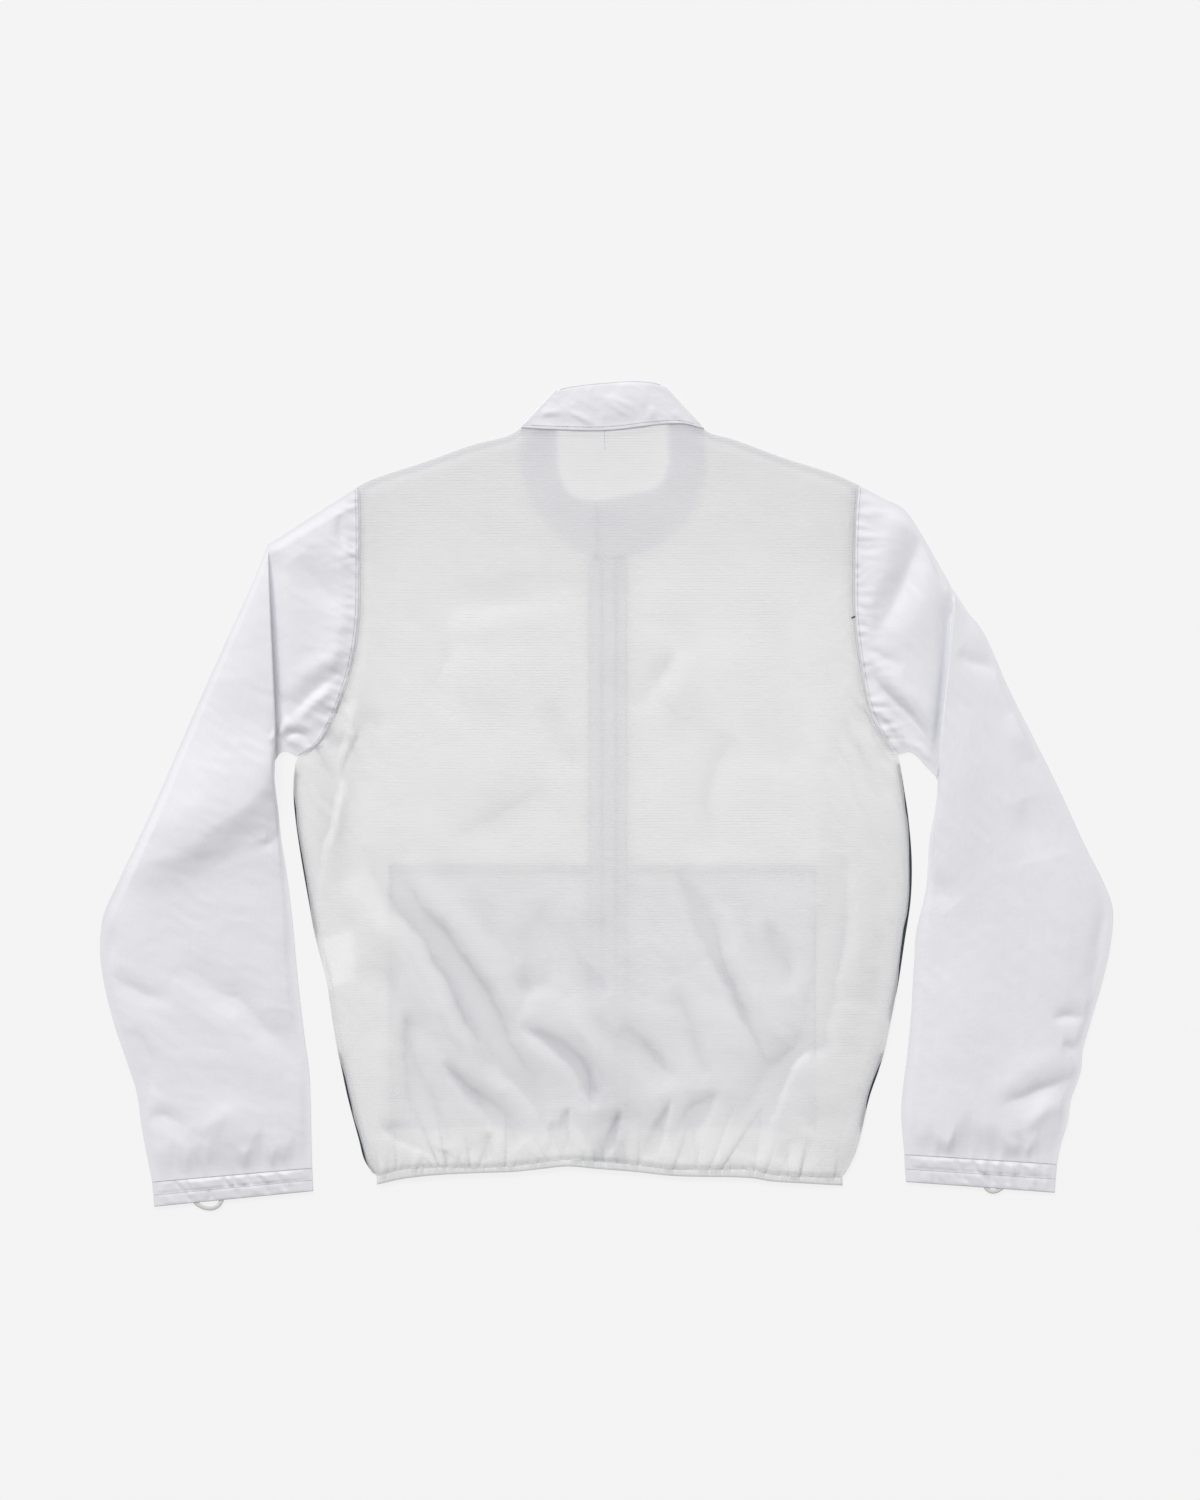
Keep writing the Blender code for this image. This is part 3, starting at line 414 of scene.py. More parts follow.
place, close = new_finish("slate_tape", "Object")
rib = (place.sum("COSINE", place.axis(1) * (2 * math.pi / 0.0012)) * 0.5 + 0.5) ** 2.0
SLATE = close(place.add("BsdfPrincipled", None, {
    "Base Color": (rib * 0.7).within().blend(screen(40, 49, 55), screen(66, 76, 83)),
    "Roughness": place.noise(300.0) * 0.2 + 0.5,
    "Normal": place.add("Bump", None, {"Strength": 0.4, "Distance": 0.0002, "Height": rib})}))

# The tape's section, from its inner edge to its outer edge: share of its width, level.
TRIM_SECTION = ((1.0, 0.7), (0.6, 0.95), (0.15, 0.95), (0.0, 0.6))
for side, sign in (("left", -1), ("right", 1)):
    ys = np.linspace(TRIM_FOOT, UNDERARM_Y, 160)
    out = trim_side(ys, side)
    wide = TRIM_WIDTH * (0.12 + 0.88 * smooth(side_at(ys, 2 if side == "left" else 4) - 0.2))
    lines = [np.column_stack([out - sign * wide * share, ys, np.full(len(ys), level)])
             for share, level in TRIM_SECTION[::sign]]
    count = len(ys)
    faces = [(r * count + k, (r + 1) * count + k, (r + 1) * count + k + 1, r * count + k + 1)
             for r in range(len(TRIM_SECTION) - 1) for k in range(count - 1)]
    flat = np.vstack(lines)
    trim = cut_mesh("side_trim_" + side, flat, faces, SLATE, flat[:, :2], 20.0)
    stand_for(trim, "piping_" + side)
    "front_panel_" + side

# ------------------------------------------------------------------------------------------------
# Zip. A fine coil zip on woven tapes runs down the centre front, closed, its slider at the top.
# It lies on the table, so only its line shows through the cloth.

CHAIN_HALF = 3.0
SLIDER_LENGTH = 11.0
TOOTH_PITCH = 1.3
TOOTH_THICK = 0.95
TOOTH_WIDTH = 2.9
TOOTH_ASIDE = 0.85       # each row's middle from the zip's line

place, close = new_finish("zip_tape_cloth", "Object")
twill = (place.sum("SINE", (place.axis(0) + place.axis(1)) * (2 * math.pi / 0.0011)) * 0.5 + 0.5)
TAPE = close(place.add("BsdfPrincipled", None, {
    "Base Color": (twill * 0.6).within().blend(screen(228, 228, 233), screen(238, 238, 242)),
    "Roughness": place.noise(500.0) * 0.15 + 0.62,
    "Normal": place.add("Bump", None, {"Strength": 0.4, "Distance": 0.0002, "Height": twill})}))
place, close = new_finish("zip_coil_plastic", "Object")
TEETH = close(place.add("BsdfPrincipled", None, {
    "Base Color": place.noise(80.0).blend(screen(218, 218, 223), screen(230, 230, 234)),
    "Roughness": place.noise(700.0) * 0.15 + 0.28}))
place, close = new_finish("zip_slider_metal", "Object")
METAL = close(place.add("BsdfPrincipled", None, {
    "Base Color": place.noise(300.0, 4.0).blend(screen(222, 222, 226), screen(236, 236, 239)),
    "Roughness": place.noise(900.0, 4.0) * 0.2 + 0.35, "Metallic": 0.25,
    "Normal": place.add("Bump", None, {"Strength": 0.2, "Distance": 0.0001,
                                       "Height": place.noise(1500.0)})}))

for side, sign in (("left", -1), ("right", 1)):
    near, far = ZIP_X + sign * (CHAIN_HALF + SEAM), ZIP_X + sign * TAPE_HALF
    foot = max(hem_y(near), hem_y(far))
    corners = [(near, foot), (far, foot), (far, ZIP_TOP), (near, ZIP_TOP)]
    tape = flat_piece("zip_tape_cloth_" + side, corners, FRONT_Z, 8.0, TAPE, face_down=True)
    stand_for(tape, "zip_tape_" + side)


def along_lines(name, rows, finish, pitch, length, width, height, sides=6, rings=4):
    """Small rounded bodies, one every pitch, along each row of points: stitches or zip teeth.
    All sizes are in millimetres."""
    points, edges = [], []
    for row in rows:
        first = len(points)
        points += [tuple(p) for p in metres(row)]
        edges += [(k, k + 1) for k in range(first, len(points) - 1)]
    mesh = bpy.data.meshes.new(name)
    mesh.from_pydata(points, edges, [])
    piece = bpy.data.objects.new(name, mesh)
    bpy.context.scene.collection.objects.link(piece)
    sizes = {"Pitch": pitch, "Length": length, "Width": width, "Height": height}
    tree = bpy.data.node_groups.new(name, "GeometryNodeTree")
    tree.interface.new_socket("Geometry", in_out="INPUT", socket_type="NodeSocketGeometry")
    for label in sizes:
        tree.interface.new_socket(label, in_out="INPUT", socket_type="NodeSocketFloat")
    tree.interface.new_socket("Geometry", in_out="OUTPUT", socket_type="NodeSocketGeometry")
    group_in, group_out, size, line, spots, body, shape, copies, real, dye, soft = [
        tree.nodes.new(kind) for kind in (
            "NodeGroupInput", "NodeGroupOutput", "ShaderNodeCombineXYZ", "GeometryNodeMeshToCurve",
            "GeometryNodeCurveToPoints", "GeometryNodeMeshUVSphere", "GeometryNodeTransform",
            "GeometryNodeInstanceOnPoints", "GeometryNodeRealizeInstances",
            "GeometryNodeSetMaterial", "GeometryNodeSetShadeSmooth")]
    spots.mode = "LENGTH"
    body.inputs["Segments"].default_value = sides
    body.inputs["Rings"].default_value = rings
    body.inputs["Radius"].default_value = 0.5
    dye.inputs["Material"].default_value = finish
    for a, b in (
        (group_in.outputs["Geometry"], line.inputs["Mesh"]),
        (line.outputs["Curve"], spots.inputs["Curve"]),
        (group_in.outputs["Pitch"], spots.inputs["Length"]),
        (group_in.outputs["Width"], size.inputs["X"]),
        (group_in.outputs["Height"], size.inputs["Y"]),
        (group_in.outputs["Length"], size.inputs["Z"]),
        (body.outputs["Mesh"], shape.inputs["Geometry"]),
        (size.outputs["Vector"], shape.inputs["Scale"]),
        (spots.outputs["Points"], copies.inputs["Points"]),
        (spots.outputs["Rotation"], copies.inputs["Rotation"]),
        (shape.outputs["Geometry"], copies.inputs["Instance"]),
        (copies.outputs["Instances"], real.inputs["Geometry"]),
        (real.outputs["Geometry"], soft.inputs["Geometry"]),
        (soft.outputs["Geometry"], dye.inputs["Geometry"]),
        (dye.outputs["Geometry"], group_out.inputs["Geometry"]),
    ):
        tree.links.new(a, b)
    modifier = piece.modifiers.new("Rows", "NODES")
    modifier.node_group = tree
    for item in tree.interface.items_tree:
        if item.in_out == "INPUT" and item.name in sizes:
            modifier[item.identifier] = sizes[item.name] * 0.001
    piece.update_tag()
    bpy.context.view_layer.update()
    seen = piece.evaluated_get(bpy.context.evaluated_depsgraph_get())
    piece_mesh = bpy.data.meshes.new_from_object(seen)
    piece.modifiers.clear()
    piece.data = piece_mesh
    piece_mesh.name = name
    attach(piece, "root")
    return piece


foot = float(hem_y(ZIP_X)) + 1.0
top = ZIP_TOP - SLIDER_LENGTH - SEAM - 1.0
tooth_rows = [[(ZIP_X + aside, foot + lift, FRONT_Z), (ZIP_X + aside, top, FRONT_Z)]
              for aside, lift in ((-TOOTH_ASIDE, 0.0), (TOOTH_ASIDE, TOOTH_PITCH / 2))]
chain = along_lines("zip_coil", tooth_rows, TEETH, TOOTH_PITCH, TOOTH_THICK, TOOTH_WIDTH,
                    TOOTH_THICK, 8, 5)
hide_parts("zip_chain")
for slot in bpy.data.objects["zip_slider"].material_slots:
    slot.material = METAL

# ------------------------------------------------------------------------------------------------
# Facing. A strip of the lavender nylon behind the zip, edge-stitched and stitched down twice.


def nylon(name, thread, shade, rough=0.42, crinkle=0.35):
    """Thin downproof nylon: nearly opaque, soft sheen, faint streaks of the warp, fine crinkle.
    Where it lies under the back it is painted paler and given a faint glow: painted light,
    standing for the light that reaches it between the layers."""
    place, close = new_finish(name, "UV")
    streak = place.stretched(1.0, 0.035, 1.0).noise(650.0, 2.0)
    cross = place.stretched(0.05, 1.0, 1.0).noise(700.0, 1.0)
    speck = place.noise(1100.0, 2.0)
    cloud = place.noise(22.0, 4.0, 0.6)
    tone = (streak * 0.45 + cross * 0.25 + speck * 0.2 + cloud * 0.35 - 0.1).within()
    crumple = place.noise(70.0, 4.0, 0.55)
    normal = place.add("Bump", None, {"Strength": crinkle, "Distance": 0.0009, "Height":
                                      crumple + speck * 0.18 + streak * 0.12})
    colour = tone.blend(screen(*thread), screen(*shade))
    # Painted light: the mark for lying under the back blends the colour paler and adds a faint
    # glow.
    under = place.add("Attribute", {"attribute_name": "painted_light"}, None, 2)
    colour = under.blend(colour, screen(250, 250, 255))
    return close(place.add("BsdfPrincipled", None, {
        "Base Color": colour,
        "Emission Color": under.blend((0.0, 0.0, 0.0, 1.0), screen(246, 246, 255)),
        "Emission Strength": 0.065,
        "Roughness": cloud * 0.12 + rough, "Normal": normal,
        "Specular IOR Level": 0.25, "Sheen Weight": 0.05, "Sheen Roughness": 0.4}))


def nylon_over_zip(name, thread, shade, left, right):
    """The same nylon where the zip shows behind it: paler between two lines across x."""
    material = nylon(name, thread, shade)
    shader = next(n for n in material.node_tree.nodes if n.type == "BSDF_PRINCIPLED")
    cloth = Finish(shader.inputs["Base Color"].links[0].from_socket)
    x = cloth.add("TexCoord", None, None, 3).axis(0)
    inside = x.sum("MULTIPLY", x - left, 1500.0, clamp=True) * x.sum(
        "MULTIPLY", right - x, 1500.0, clamp=True)
    for edge in (left, right):
        line = x.sum("SUBTRACT", 1.0, x.sum("ABSOLUTE", x - edge) * 1100.0, clamp=True)
        cloth = (line * 0.4).blend(cloth, screen(180, 180, 196))
    cloth = (inside * 0.6).blend(cloth, screen(253, 253, 255))
    material.node_tree.links.new(cloth.socket, shader.inputs["Base Color"])
    return material


LAVENDER = nylon("nylon_lavender_cloth", (240.2, 240.2, 244.5), (227, 227, 232.8), 0.53, 0.45)
# The cuffs' nylon is a slightly darker copy of the sleeves': painted shade.
CUFF_NYLON_SHADED = nylon("nylon_cuff_cloth", (237, 236.8, 241), (223, 222.8, 229), 0.46, 0.45)
# The facing's nylon is painted much paler than the sleeves': painted light for the light that
# reaches it under the back.
FACING_NYLON = nylon_over_zip("nylon_facing_cloth", (251, 251, 255), (242, 242, 251),
                              -0.0040, 0.0090)


def spun(name, dark, pale, rough=0.45):
    """Spun thread, mottled between two tones."""
    place, close = new_finish(name, "Object")
    return close(place.add("BsdfPrincipled", None, {
        "Base Color": place.noise(900.0).blend(screen(*dark), screen(*pale)),
        "Roughness": place.noise(1500.0) * 0.2 + rough}))


THREAD = spun("sewing_thread", (176, 177, 183), (196, 197, 202))
# Dark thread: its dark tone is painted shade, for the shadow line along each pocket's turned mouth
# edge; the facing's rows are sewn with it too.
SHADE_LINE_THREAD = spun("shade_line_thread", (96, 97, 106), (120, 121, 130))
STITCH_LIFT = 0.2        # how far a row of stitches lies above its cloth

FACING_LEFT, FACING_RIGHT = -15.8, 21.4
FACING_OVERRUN = 4.5     # how far it runs past the pocket bags' feet
COLLAR_OVERLAP = 8.0     # how far below the collar's seam it ends
FACING_ROWS = (FACING_LEFT + 1.5, -2.8, 10.2, FACING_RIGHT - 1.5)
POCKET_MOUTH_Y, POCKET_FOOT_Y = 299.5, 48.5
INSIDE_Z = 1.8
foot = POCKET_FOOT_Y - FACING_OVERRUN
head = COLLAR_FRONT_LEFT[0][1] - COLLAR_OVERLAP
corners = [(FACING_LEFT, foot), (FACING_RIGHT, foot), (FACING_RIGHT, head), (FACING_LEFT, head)]
# The facing is marked as lying under the back, so it is painted paler and glows: painted light.
facing = flat_piece("zip_facing_strip", corners, INSIDE_Z, 9.0, FACING_NYLON, painted_light=0.7)
lines = [[(x, foot + 2, INSIDE_Z + STITCH_LIFT), (x, head - 2, INSIDE_Z + STITCH_LIFT)]
         for x in FACING_ROWS]
facing_rows = along_lines("stitches_facing", lines, SHADE_LINE_THREAD, 2.6, 2.3, 0.6, 0.35)
stand_for(facing, "zip_facing")

# ------------------------------------------------------------------------------------------------
# Pocket bags. Each is a sheet of the same ripstop behind a front, sewn to the facing, the foot
# and the side, and open at the mouth, where its edge is turned in and stitched.

POCKET_OUT = {"left": -200.0, "right": 195.5}
POCKET_SCALLOP = 8.0     # how far the gathers pull its foot up
MOUTH_ROWS = (0.8, 6.4)  # rows of stitches below the mouth
# The bags' ripstop is painted paler than the back's: painted light for the light that reaches them
# under the back.
BAG_SHEER = ripstop("ripstop_bag", (250, 250, 253), (233, 233, 240), 0.70)
for side, near in (("left", FACING_LEFT - SEAM), ("right", FACING_RIGHT + SEAM)):
    far = POCKET_OUT[side]
    foot_x = np.linspace(near, far, 60)
    scallop = POCKET_SCALLOP * np.abs(np.sin(foot_x / 24.0 + 0.7 * np.sin(foot_x / 31.0)))
    corners = [*zip(foot_x, POCKET_FOOT_Y + scallop), (far, POCKET_MOUTH_Y), (near, POCKET_MOUTH_Y)]
    if side == "left":
        corners = corners[::-1]
    bag = flat_piece("pocket_bag_sheet_" + side, corners, INSIDE_Z, 6.2, BAG_SHEER)
    level = INSIDE_Z + STITCH_LIFT
    rows = [[(near, POCKET_MOUTH_Y - drop, level), (far, POCKET_MOUTH_Y - drop, level)]
            for drop in MOUTH_ROWS]
    rows.append([(far, POCKET_FOOT_Y + 2.0, level), (far, POCKET_MOUTH_Y - 2.0, level)])
    # These rows are drawn in the dark thread: painted shade of the turned mouth edge.
    sewing = along_lines("stitches_pocket_" + side, rows, SHADE_LINE_THREAD, 2.6, 2.5, 0.8, 0.35)
    stand_for(bag, "pocket_bag_" + side)
    "front_panel_" + side

# ------------------------------------------------------------------------------------------------
# Care label. A plain white woven label, sewn into the left side seam, blank.

CARE_LABEL = ((-266.5, 229), (-234.5, 240), (-232.5, 194.5), (-257, 183.5))
# Painted light: the label is given a faint glow, standing for the light that reaches it under the
# back.
place, close = new_finish("label_tape_white", "Object")
GLOWING_LABEL = close(place.add("BsdfPrincipled", None, {
    "Base Color": place.noise(400.0).blend(screen(252, 252, 251), screen(246, 246, 245)),
    "Roughness": place.noise(600.0) * 0.15 + 0.5, "Emission Strength": 0.24}))
label = flat_piece("care_label_blank", CARE_LABEL[::-1], INSIDE_Z + 0.1, 5.0, GLOWING_LABEL)
stand_for(label, "care_label")

# ------------------------------------------------------------------------------------------------
# Back. One panel of semi-sheer ripstop, gathered into the hem binding, so that long soft folds
# run up from it; the largest one crosses from the left side down to the middle of the hem.

# Back neck seam, left to right: x, y.
BACK_NECK = ((-78, 706), (-50, 704), (1, 703), (49.5, 708.5), (73.5, 709.5), (92, 705))
# Folds: start x, y, middle x, y, end x, y, half width on the left of that run and on its right,
# rise (a trough is negative).
BACK_FOLDS = (
    (-189, 521, -126, 555, -18, 562, 10, 22, -2.6),
    (-178, 506, -119, 521, -24, 536, 18, 14, 2.0),
    (-244, 466, -260, 360, -270, 262, 8, 5, -9.2),
    (-232, 453, -248, 360, -260, 267, 7, 12, 8.0),
    (-204, 441, -230, 411, -256, 346, 10, 7, -7.2),
    (-228, 316, -128, 182, -50, 43, 20, 8, -13.6),
    (-242, 286, -154, 164, -98, 62, 20, 16, 9.2),
    (-190, 304, -98, 183, -42, 81, 24, 14, 8.8),
    (-152, 118, -112, 76, -79, 36, 12, 7, -8.8),
    (-212, 58, -190, 50, -160, 36, 8, 6, -7.6),
    (-161, 32, -150, 27, -138, 20, 4, 5, -6.8),
    (-150, 210, -120, 140, -92, 92, 18, 8, -7.2),
    (-58, 268, -66, 200, -88, 140, 16, 18, -6.0),
    (-79, 152, -32, 118, -10, 72, 16, 7, -11.2),
    (-42, 174, -4, 118, 14, 62, 18, 16, 6.8),
    (-143, 322, -98, 349, -34, 382, 14, 22, -2.2),
    (66, 500, 46, 472, 26, 444, 9, 16, -3.2),
    (76, 500, 70, 462, 63, 441, 14, 12, 2.4),
    (66, 296, 98, 230, 156, 98, 14, 8, -8.8),
    (107, 267, 130, 192, 172, 118, 12, 20, 6.0),
    (108, 92, 84, 58, 68, 24, 6, 9, -9.2),
    (60, 82, 50, 52, 42, 24, 3, 6, -6.8),
    (204, 148, 158, 92, 138, 26, 6, 16, -11.2),
    (158, 27, 180, 38, 200, 25, 6, 9, -6.0),
    (225, 312, 211, 211, 192, 112, 7, 14, -9.2),
    (236, 302, 234, 220, 225, 136, 14, 14, 3.0),
    (225, 436, 223, 374, 220, 312, 7, 12, -5.6),
    (236, 432, 242, 378, 255, 312, 6, 10, -6.0),
    (239, 472, 248, 416, 256, 360, 6, 9, -7.2),
    (-186, 164, -180, 100, -154, 34, 12, 8, -8.8),
    (-35, 72, -36, 50, -36, 22, 3, 5, -10.0),
    (15, 72, 8, 46, -4, 24, 3, 4, -6.0),
    (-176, 44, -164, 36, -154, 20, 3, 5, -8.0),
    (-104, 48, -110, 36, -118, 24, 3, 7, -6.0),
    (-50, 60, -46, 44, -52, 24, 3, 4, -6.0),
    (-176, 560, -150, 500, -168, 452, 14, 22, -3.6),
    (150, 560, 172, 470, 164, 380, 16, 26, -3.6),
    (120, 420, 96, 360, 104, 300, 14, 24, -3.6),
    (-60, 452, -36, 420, -30, 380, 12, 20, -3.2),
    (14, 150, 44, 128, 60, 90, 11, 16, -4.8),
    (60, 186, 84, 140, 92, 90, 14, 20, -4.4),
    (-196, 236, -150, 150, -128, 96, 9, 16, -5.2),
    (-34, 250, -24, 210, 4, 178, 12, 20, -3.2),
    (150, 250, 168, 216, 176, 180, 10, 16, -4.8),
)
# Places where the back stands off the layers under it: x, y, half width, half height, rise.
BACK_PUFFS = (
    (-175, 130, 55, 105, 4.2),
    (-70, 120, 75, 95, 5.4),
    (45, 120, 65, 95, 4.8),
    (150, 140, 60, 110, 5.0),
    (-40, 300, 150, 90, 1.8),
    (120, 380, 90, 150, 1.6),
    (-110, 430, 90, 120, 1.6),
    (0, 600, 150, 70, 1.2),
    (-118, 486, 70, 34, 3.0),
    (112, 470, 80, 44, 2.8),
    (-104, 392, 66, 46, 2.6),
    (110, 372, 80, 40, 2.0),
    (228, 210, 26, 110, 1.0),
)
# Spacing of the hem gathers: x, pitch there.
GATHER_PITCH = ((-212, 7.0), (-125, 7.0), (-95, 10.2), (60, 10.8), (221, 10.4))
LOW_EDGE = 2.4           # level of the back at its side seams and armholes
HIGH_EDGE = 3.3          # its level over the facing and the pocket bags
HEM_LEVEL = 1.1          # level to which it comes down at the binding
EDGE_FADE = 14.0         # how far in from a seam it reaches its full level
FOLD_POINTS = 12         # points along the line of a fold
ARMHOLE_RUN = 275.0      # length of an armhole seam


def fold_line(row):
    """The three-point curve of a fold."""
    xa, ya, xm, ym, xb, yb = row[:6]
    t = np.linspace(0.0, 1.0, FOLD_POINTS)
    cx, cy = 2 * xm - (xa + xb) / 2, 2 * ym - (ya + yb) / 2
    return np.column_stack([(1 - t) ** 2 * xa + 2 * t * (1 - t) * cx + t * t * xb,
                            (1 - t) ** 2 * ya + 2 * t * (1 - t) * cy + t * t * yb])


def hills(x, y, size, seed):
    """Even random hills and hollows, up to 1 high, about a size apart."""
    table = np.random.default_rng(seed).uniform(-1, 1, (97, 97))
    gx, gy = np.asarray(x) / size + 500.0, np.asarray(y) / size + 500.0
    i, j = np.floor(gx).astype(int), np.floor(gy).astype(int)
    u, v = smooth(gx - i), smooth(gy - j)
    low = table[i % 97, j % 97] * (1 - u) + table[(i + 1) % 97, j % 97] * u
    high = table[i % 97, (j + 1) % 97] * (1 - u) + table[(i + 1) % 97, (j + 1) % 97] * u
    return low * (1 - v) + high * v


def facets(x, y, size, seed):
    """Flat facets with crisp creases between them, up to 1 high, as thin cloth crumples."""
    table = np.random.default_rng(seed).uniform(-1, 1, (97, 97))
    x = x + size * 0.45 * hills(x, y, size * 1.7, seed + 1)
    y = y + size * 0.45 * hills(x, y, size * 1.7, seed + 2)
    gx, gy = x / size + y / size * 0.577 + 500.0, y / size * 1.155 + 500.0
    i, j = np.floor(gx).astype(int), np.floor(gy).astype(int)
    u, v = gx - i, gy - j
    past = u + v > 1
    near = np.where(past, table[(i + 1) % 97, (j + 1) % 97], table[i % 97, j % 97])
    right, above = table[(i + 1) % 97, j % 97], table[i % 97, (j + 1) % 97]
    a, b = np.where(past, 1 - v, u), np.where(past, 1 - u, v)
    return near + a * (right - near) + b * (above - near)


def folds_at(x, y, folds, seed=3):
    """Height that the folds add. Each runs a little crooked, is steeper on one side, rounder on
    a ridge and sharper in a trough, and dies out at both ends."""
    wx = x + 2.6 * hills(x, y, 26.0, seed) + 0.5 * hills(x, y, 8.0, seed + 1)
    wy = y + 2.6 * hills(x, y, 26.0, seed + 2) + 0.5 * hills(x, y, 8.0, seed + 3)
    lift = np.zeros(np.shape(x))
    for row in folds:
        line, reach = fold_line(row), 3.5 * max(row[6:8])
        (low_x, low_y), (high_x, high_y) = line.min(0) - reach, line.max(0) + reach
        by = (wx > low_x) & (wx < high_x) & (wy > low_y) & (wy < high_y)
        gap, share, side = nearest(wx[by], wy[by], line)
        width = np.where(side > 0, row[6], row[7]) * (0.75 + 0.5 * share)
        power = 1.4 if row[8] < 0 else 1.9
        ends = np.clip(np.sin(np.pi * share), 0, 1) ** 0.9
        lift[by] += row[8] * np.exp(-(gap / width) ** power) * ends
    return lift


def upward(lift):
    """Lets cloth rise freely but never sink into the layer under it."""
    return (lift + np.sqrt(lift ** 2 + 1.0)) / 2


def gather_marks():
    """Troughs and crests of the hem gathers in turn, left to right: x, and the crest's own size
    or 0. The steps are uneven."""
    pitch_x = [row[0] for row in GATHER_PITCH]
    pitch = [row[1] for row in GATHER_PITCH]
    x, marks, index = HEM_LEFT + 2.0, [], 0
    while x < HEM_RIGHT - 3.0:
        step = float(np.interp(x, pitch_x, pitch)) * (1 + 0.22 * np.sin(2.3 * index))
        marks.append((x, 0.0))
        marks.append((x + step / 2, 0.75 + 0.25 * np.sin(1.7 * index + 0.6)))
        x += step
        index += 1
    marks.append((x, 0.0))
    return np.array([m for m in marks if m[0] < HEM_RIGHT - 1.5])


GATHERS = gather_marks()


def gathers_at(x, y):
    """The gathers at the binding: each crest leans, spreads and dies out at its own height. Gives
    their rise, and how near each point is to the pinched line between two of them, 0 to 1."""
    chance = np.random.default_rng(11)
    up = np.maximum(y - seam_y(x), 0)
    lift, pinch = np.zeros(np.shape(x)), np.zeros(np.shape(x))
    for k in range(1, len(GATHERS) - 1, 2):
        crest, size = GATHERS[k]
        pitch = GATHERS[k + 1, 0] - GATHERS[k - 1, 0]
        lean, reach = chance.normal(0, 0.4), chance.uniform(5, 14)
        size *= chance.uniform(0.45, 1.2)
        if chance.random() < 0.35:
            reach *= 2.6
        wide = pitch * 0.52 + up * 0.1
        across = (x - crest - lean * up) / wide
        round_top = np.sqrt(np.clip(1 - across ** 2, 0, 1))
        lift = np.maximum(lift, 4.2 * size * round_top * np.exp(-up / reach))
        line = np.exp(-((across - 1) * wide / 1.1) ** 2) * np.exp(-up / (reach * 0.9)) * size
        pinch = np.maximum(pinch, line)
    return lift, pinch


SLIDER_SPOT = (ZIP_X, ZIP_TOP - SLIDER_LENGTH / 2)


def back_side(y, side):
    """Edge of the back at a side seam, drawn in unevenly where the trim shows."""
    ragged = 1.7 + 0.8 * hills(y, y * 0, 16.0, 33)
    if side == "left":
        return side_at(y, 1) + np.maximum(side_at(y, 2) - ragged, 0)
    return side_at(y, 3) - np.maximum(side_at(y, 4) - ragged, 0)


side_ys = np.linspace(BODY_SIDES[0][0], UNDERARM_Y, 26)
SIDE_SEAMS = [np.column_stack([back_side(side_ys, s), side_ys]) for s in ("left", "right")]
ARM_SEAMS = [armhole("left", 34), armhole("right", 34)]
SHOULDER_SEAMS = [shoulder("left", 14.0), shoulder("right", 14.0)]


def seam_pull(run, out, pitch, reach, seed):
    """Puckers square to a seam: run along it and distance out from it, in millimetres."""
    chance = np.random.default_rng(seed)
    marks, at = [], 0.0
    while at < 1200:
        step = pitch * chance.uniform(0.5, 2.1)
        marks += [(at, 0.0), (at + step * chance.uniform(0.3, 0.7), chance.uniform(0.05, 1.0))]
        at += step
    marks = np.array(marks)
    lean = hills(run, out * 0, 30.0, seed + 1) * 0.9
    return smooth(np.interp(run + lean * out, marks[:, 0], marks[:, 1])) * np.exp(-out / reach)


def back_level(x, y):
    """Level of the back at any place."""
    x, y = np.asarray(x, float), np.asarray(y, float)
    gaps = [nearest(x, y, line)[0] for line in SIDE_SEAMS + ARM_SEAMS + SHOULDER_SEAMS]
    inside = smooth(np.min(gaps, axis=0) / EDGE_FADE)
    lift = 1.0 * facets(x * 0.8 + y * 0.3, y * 0.5 - x * 0.35, 27.0, 5)
    lift += 0.3 * facets(x * 0.9 - y * 0.2, y * 0.7 + x * 0.2, 11.0, 8)
    lift *= 0.35 + 0.85 * smooth((330.0 - y) / 140.0)
    for px, py, wide, high, rise in BACK_PUFFS:
        lift += rise * np.exp(-(((x - px) / wide) ** 2 + ((y - py) / high) ** 2))
    lift = upward(lift + folds_at(x, y, BACK_FOLDS))
    by_hem = 0.5 + 0.5 * smooth((y - seam_y(x)) / 12.0)
    for line, seed in zip(ARM_SEAMS, (21, 22)):
        gap, share, _ = nearest(x, y, line)
        lift += 1.3 * seam_pull(share * ARMHOLE_RUN, gap, 8.5, 9.0, seed)
    slider = 0.5 * np.exp(-(np.hypot(x - SLIDER_SPOT[0], y - SLIDER_SPOT[1]) / 14.0) ** 2)
    base = LOW_EDGE + (HIGH_EDGE - LOW_EDGE) * inside
    under_arm = sum(np.exp(-np.hypot(x - px, (y - 425.0) * 0.55) / 26.0) for px in (-262, 258))
    crumple = 2.6 * under_arm * facets(x * 1.2, y * 0.7 + x * 0.3, 10.0, 15)
    level = (base + lift * inside * by_hem + np.maximum(crumple, -1.2) * smooth(inside * 3)
             + gathers_at(x, y)[0] + slider)
    return HEM_LEVEL + (level - HEM_LEVEL) * (0.55 + 0.45 * smooth((y - seam_y(x)) / 6.0))


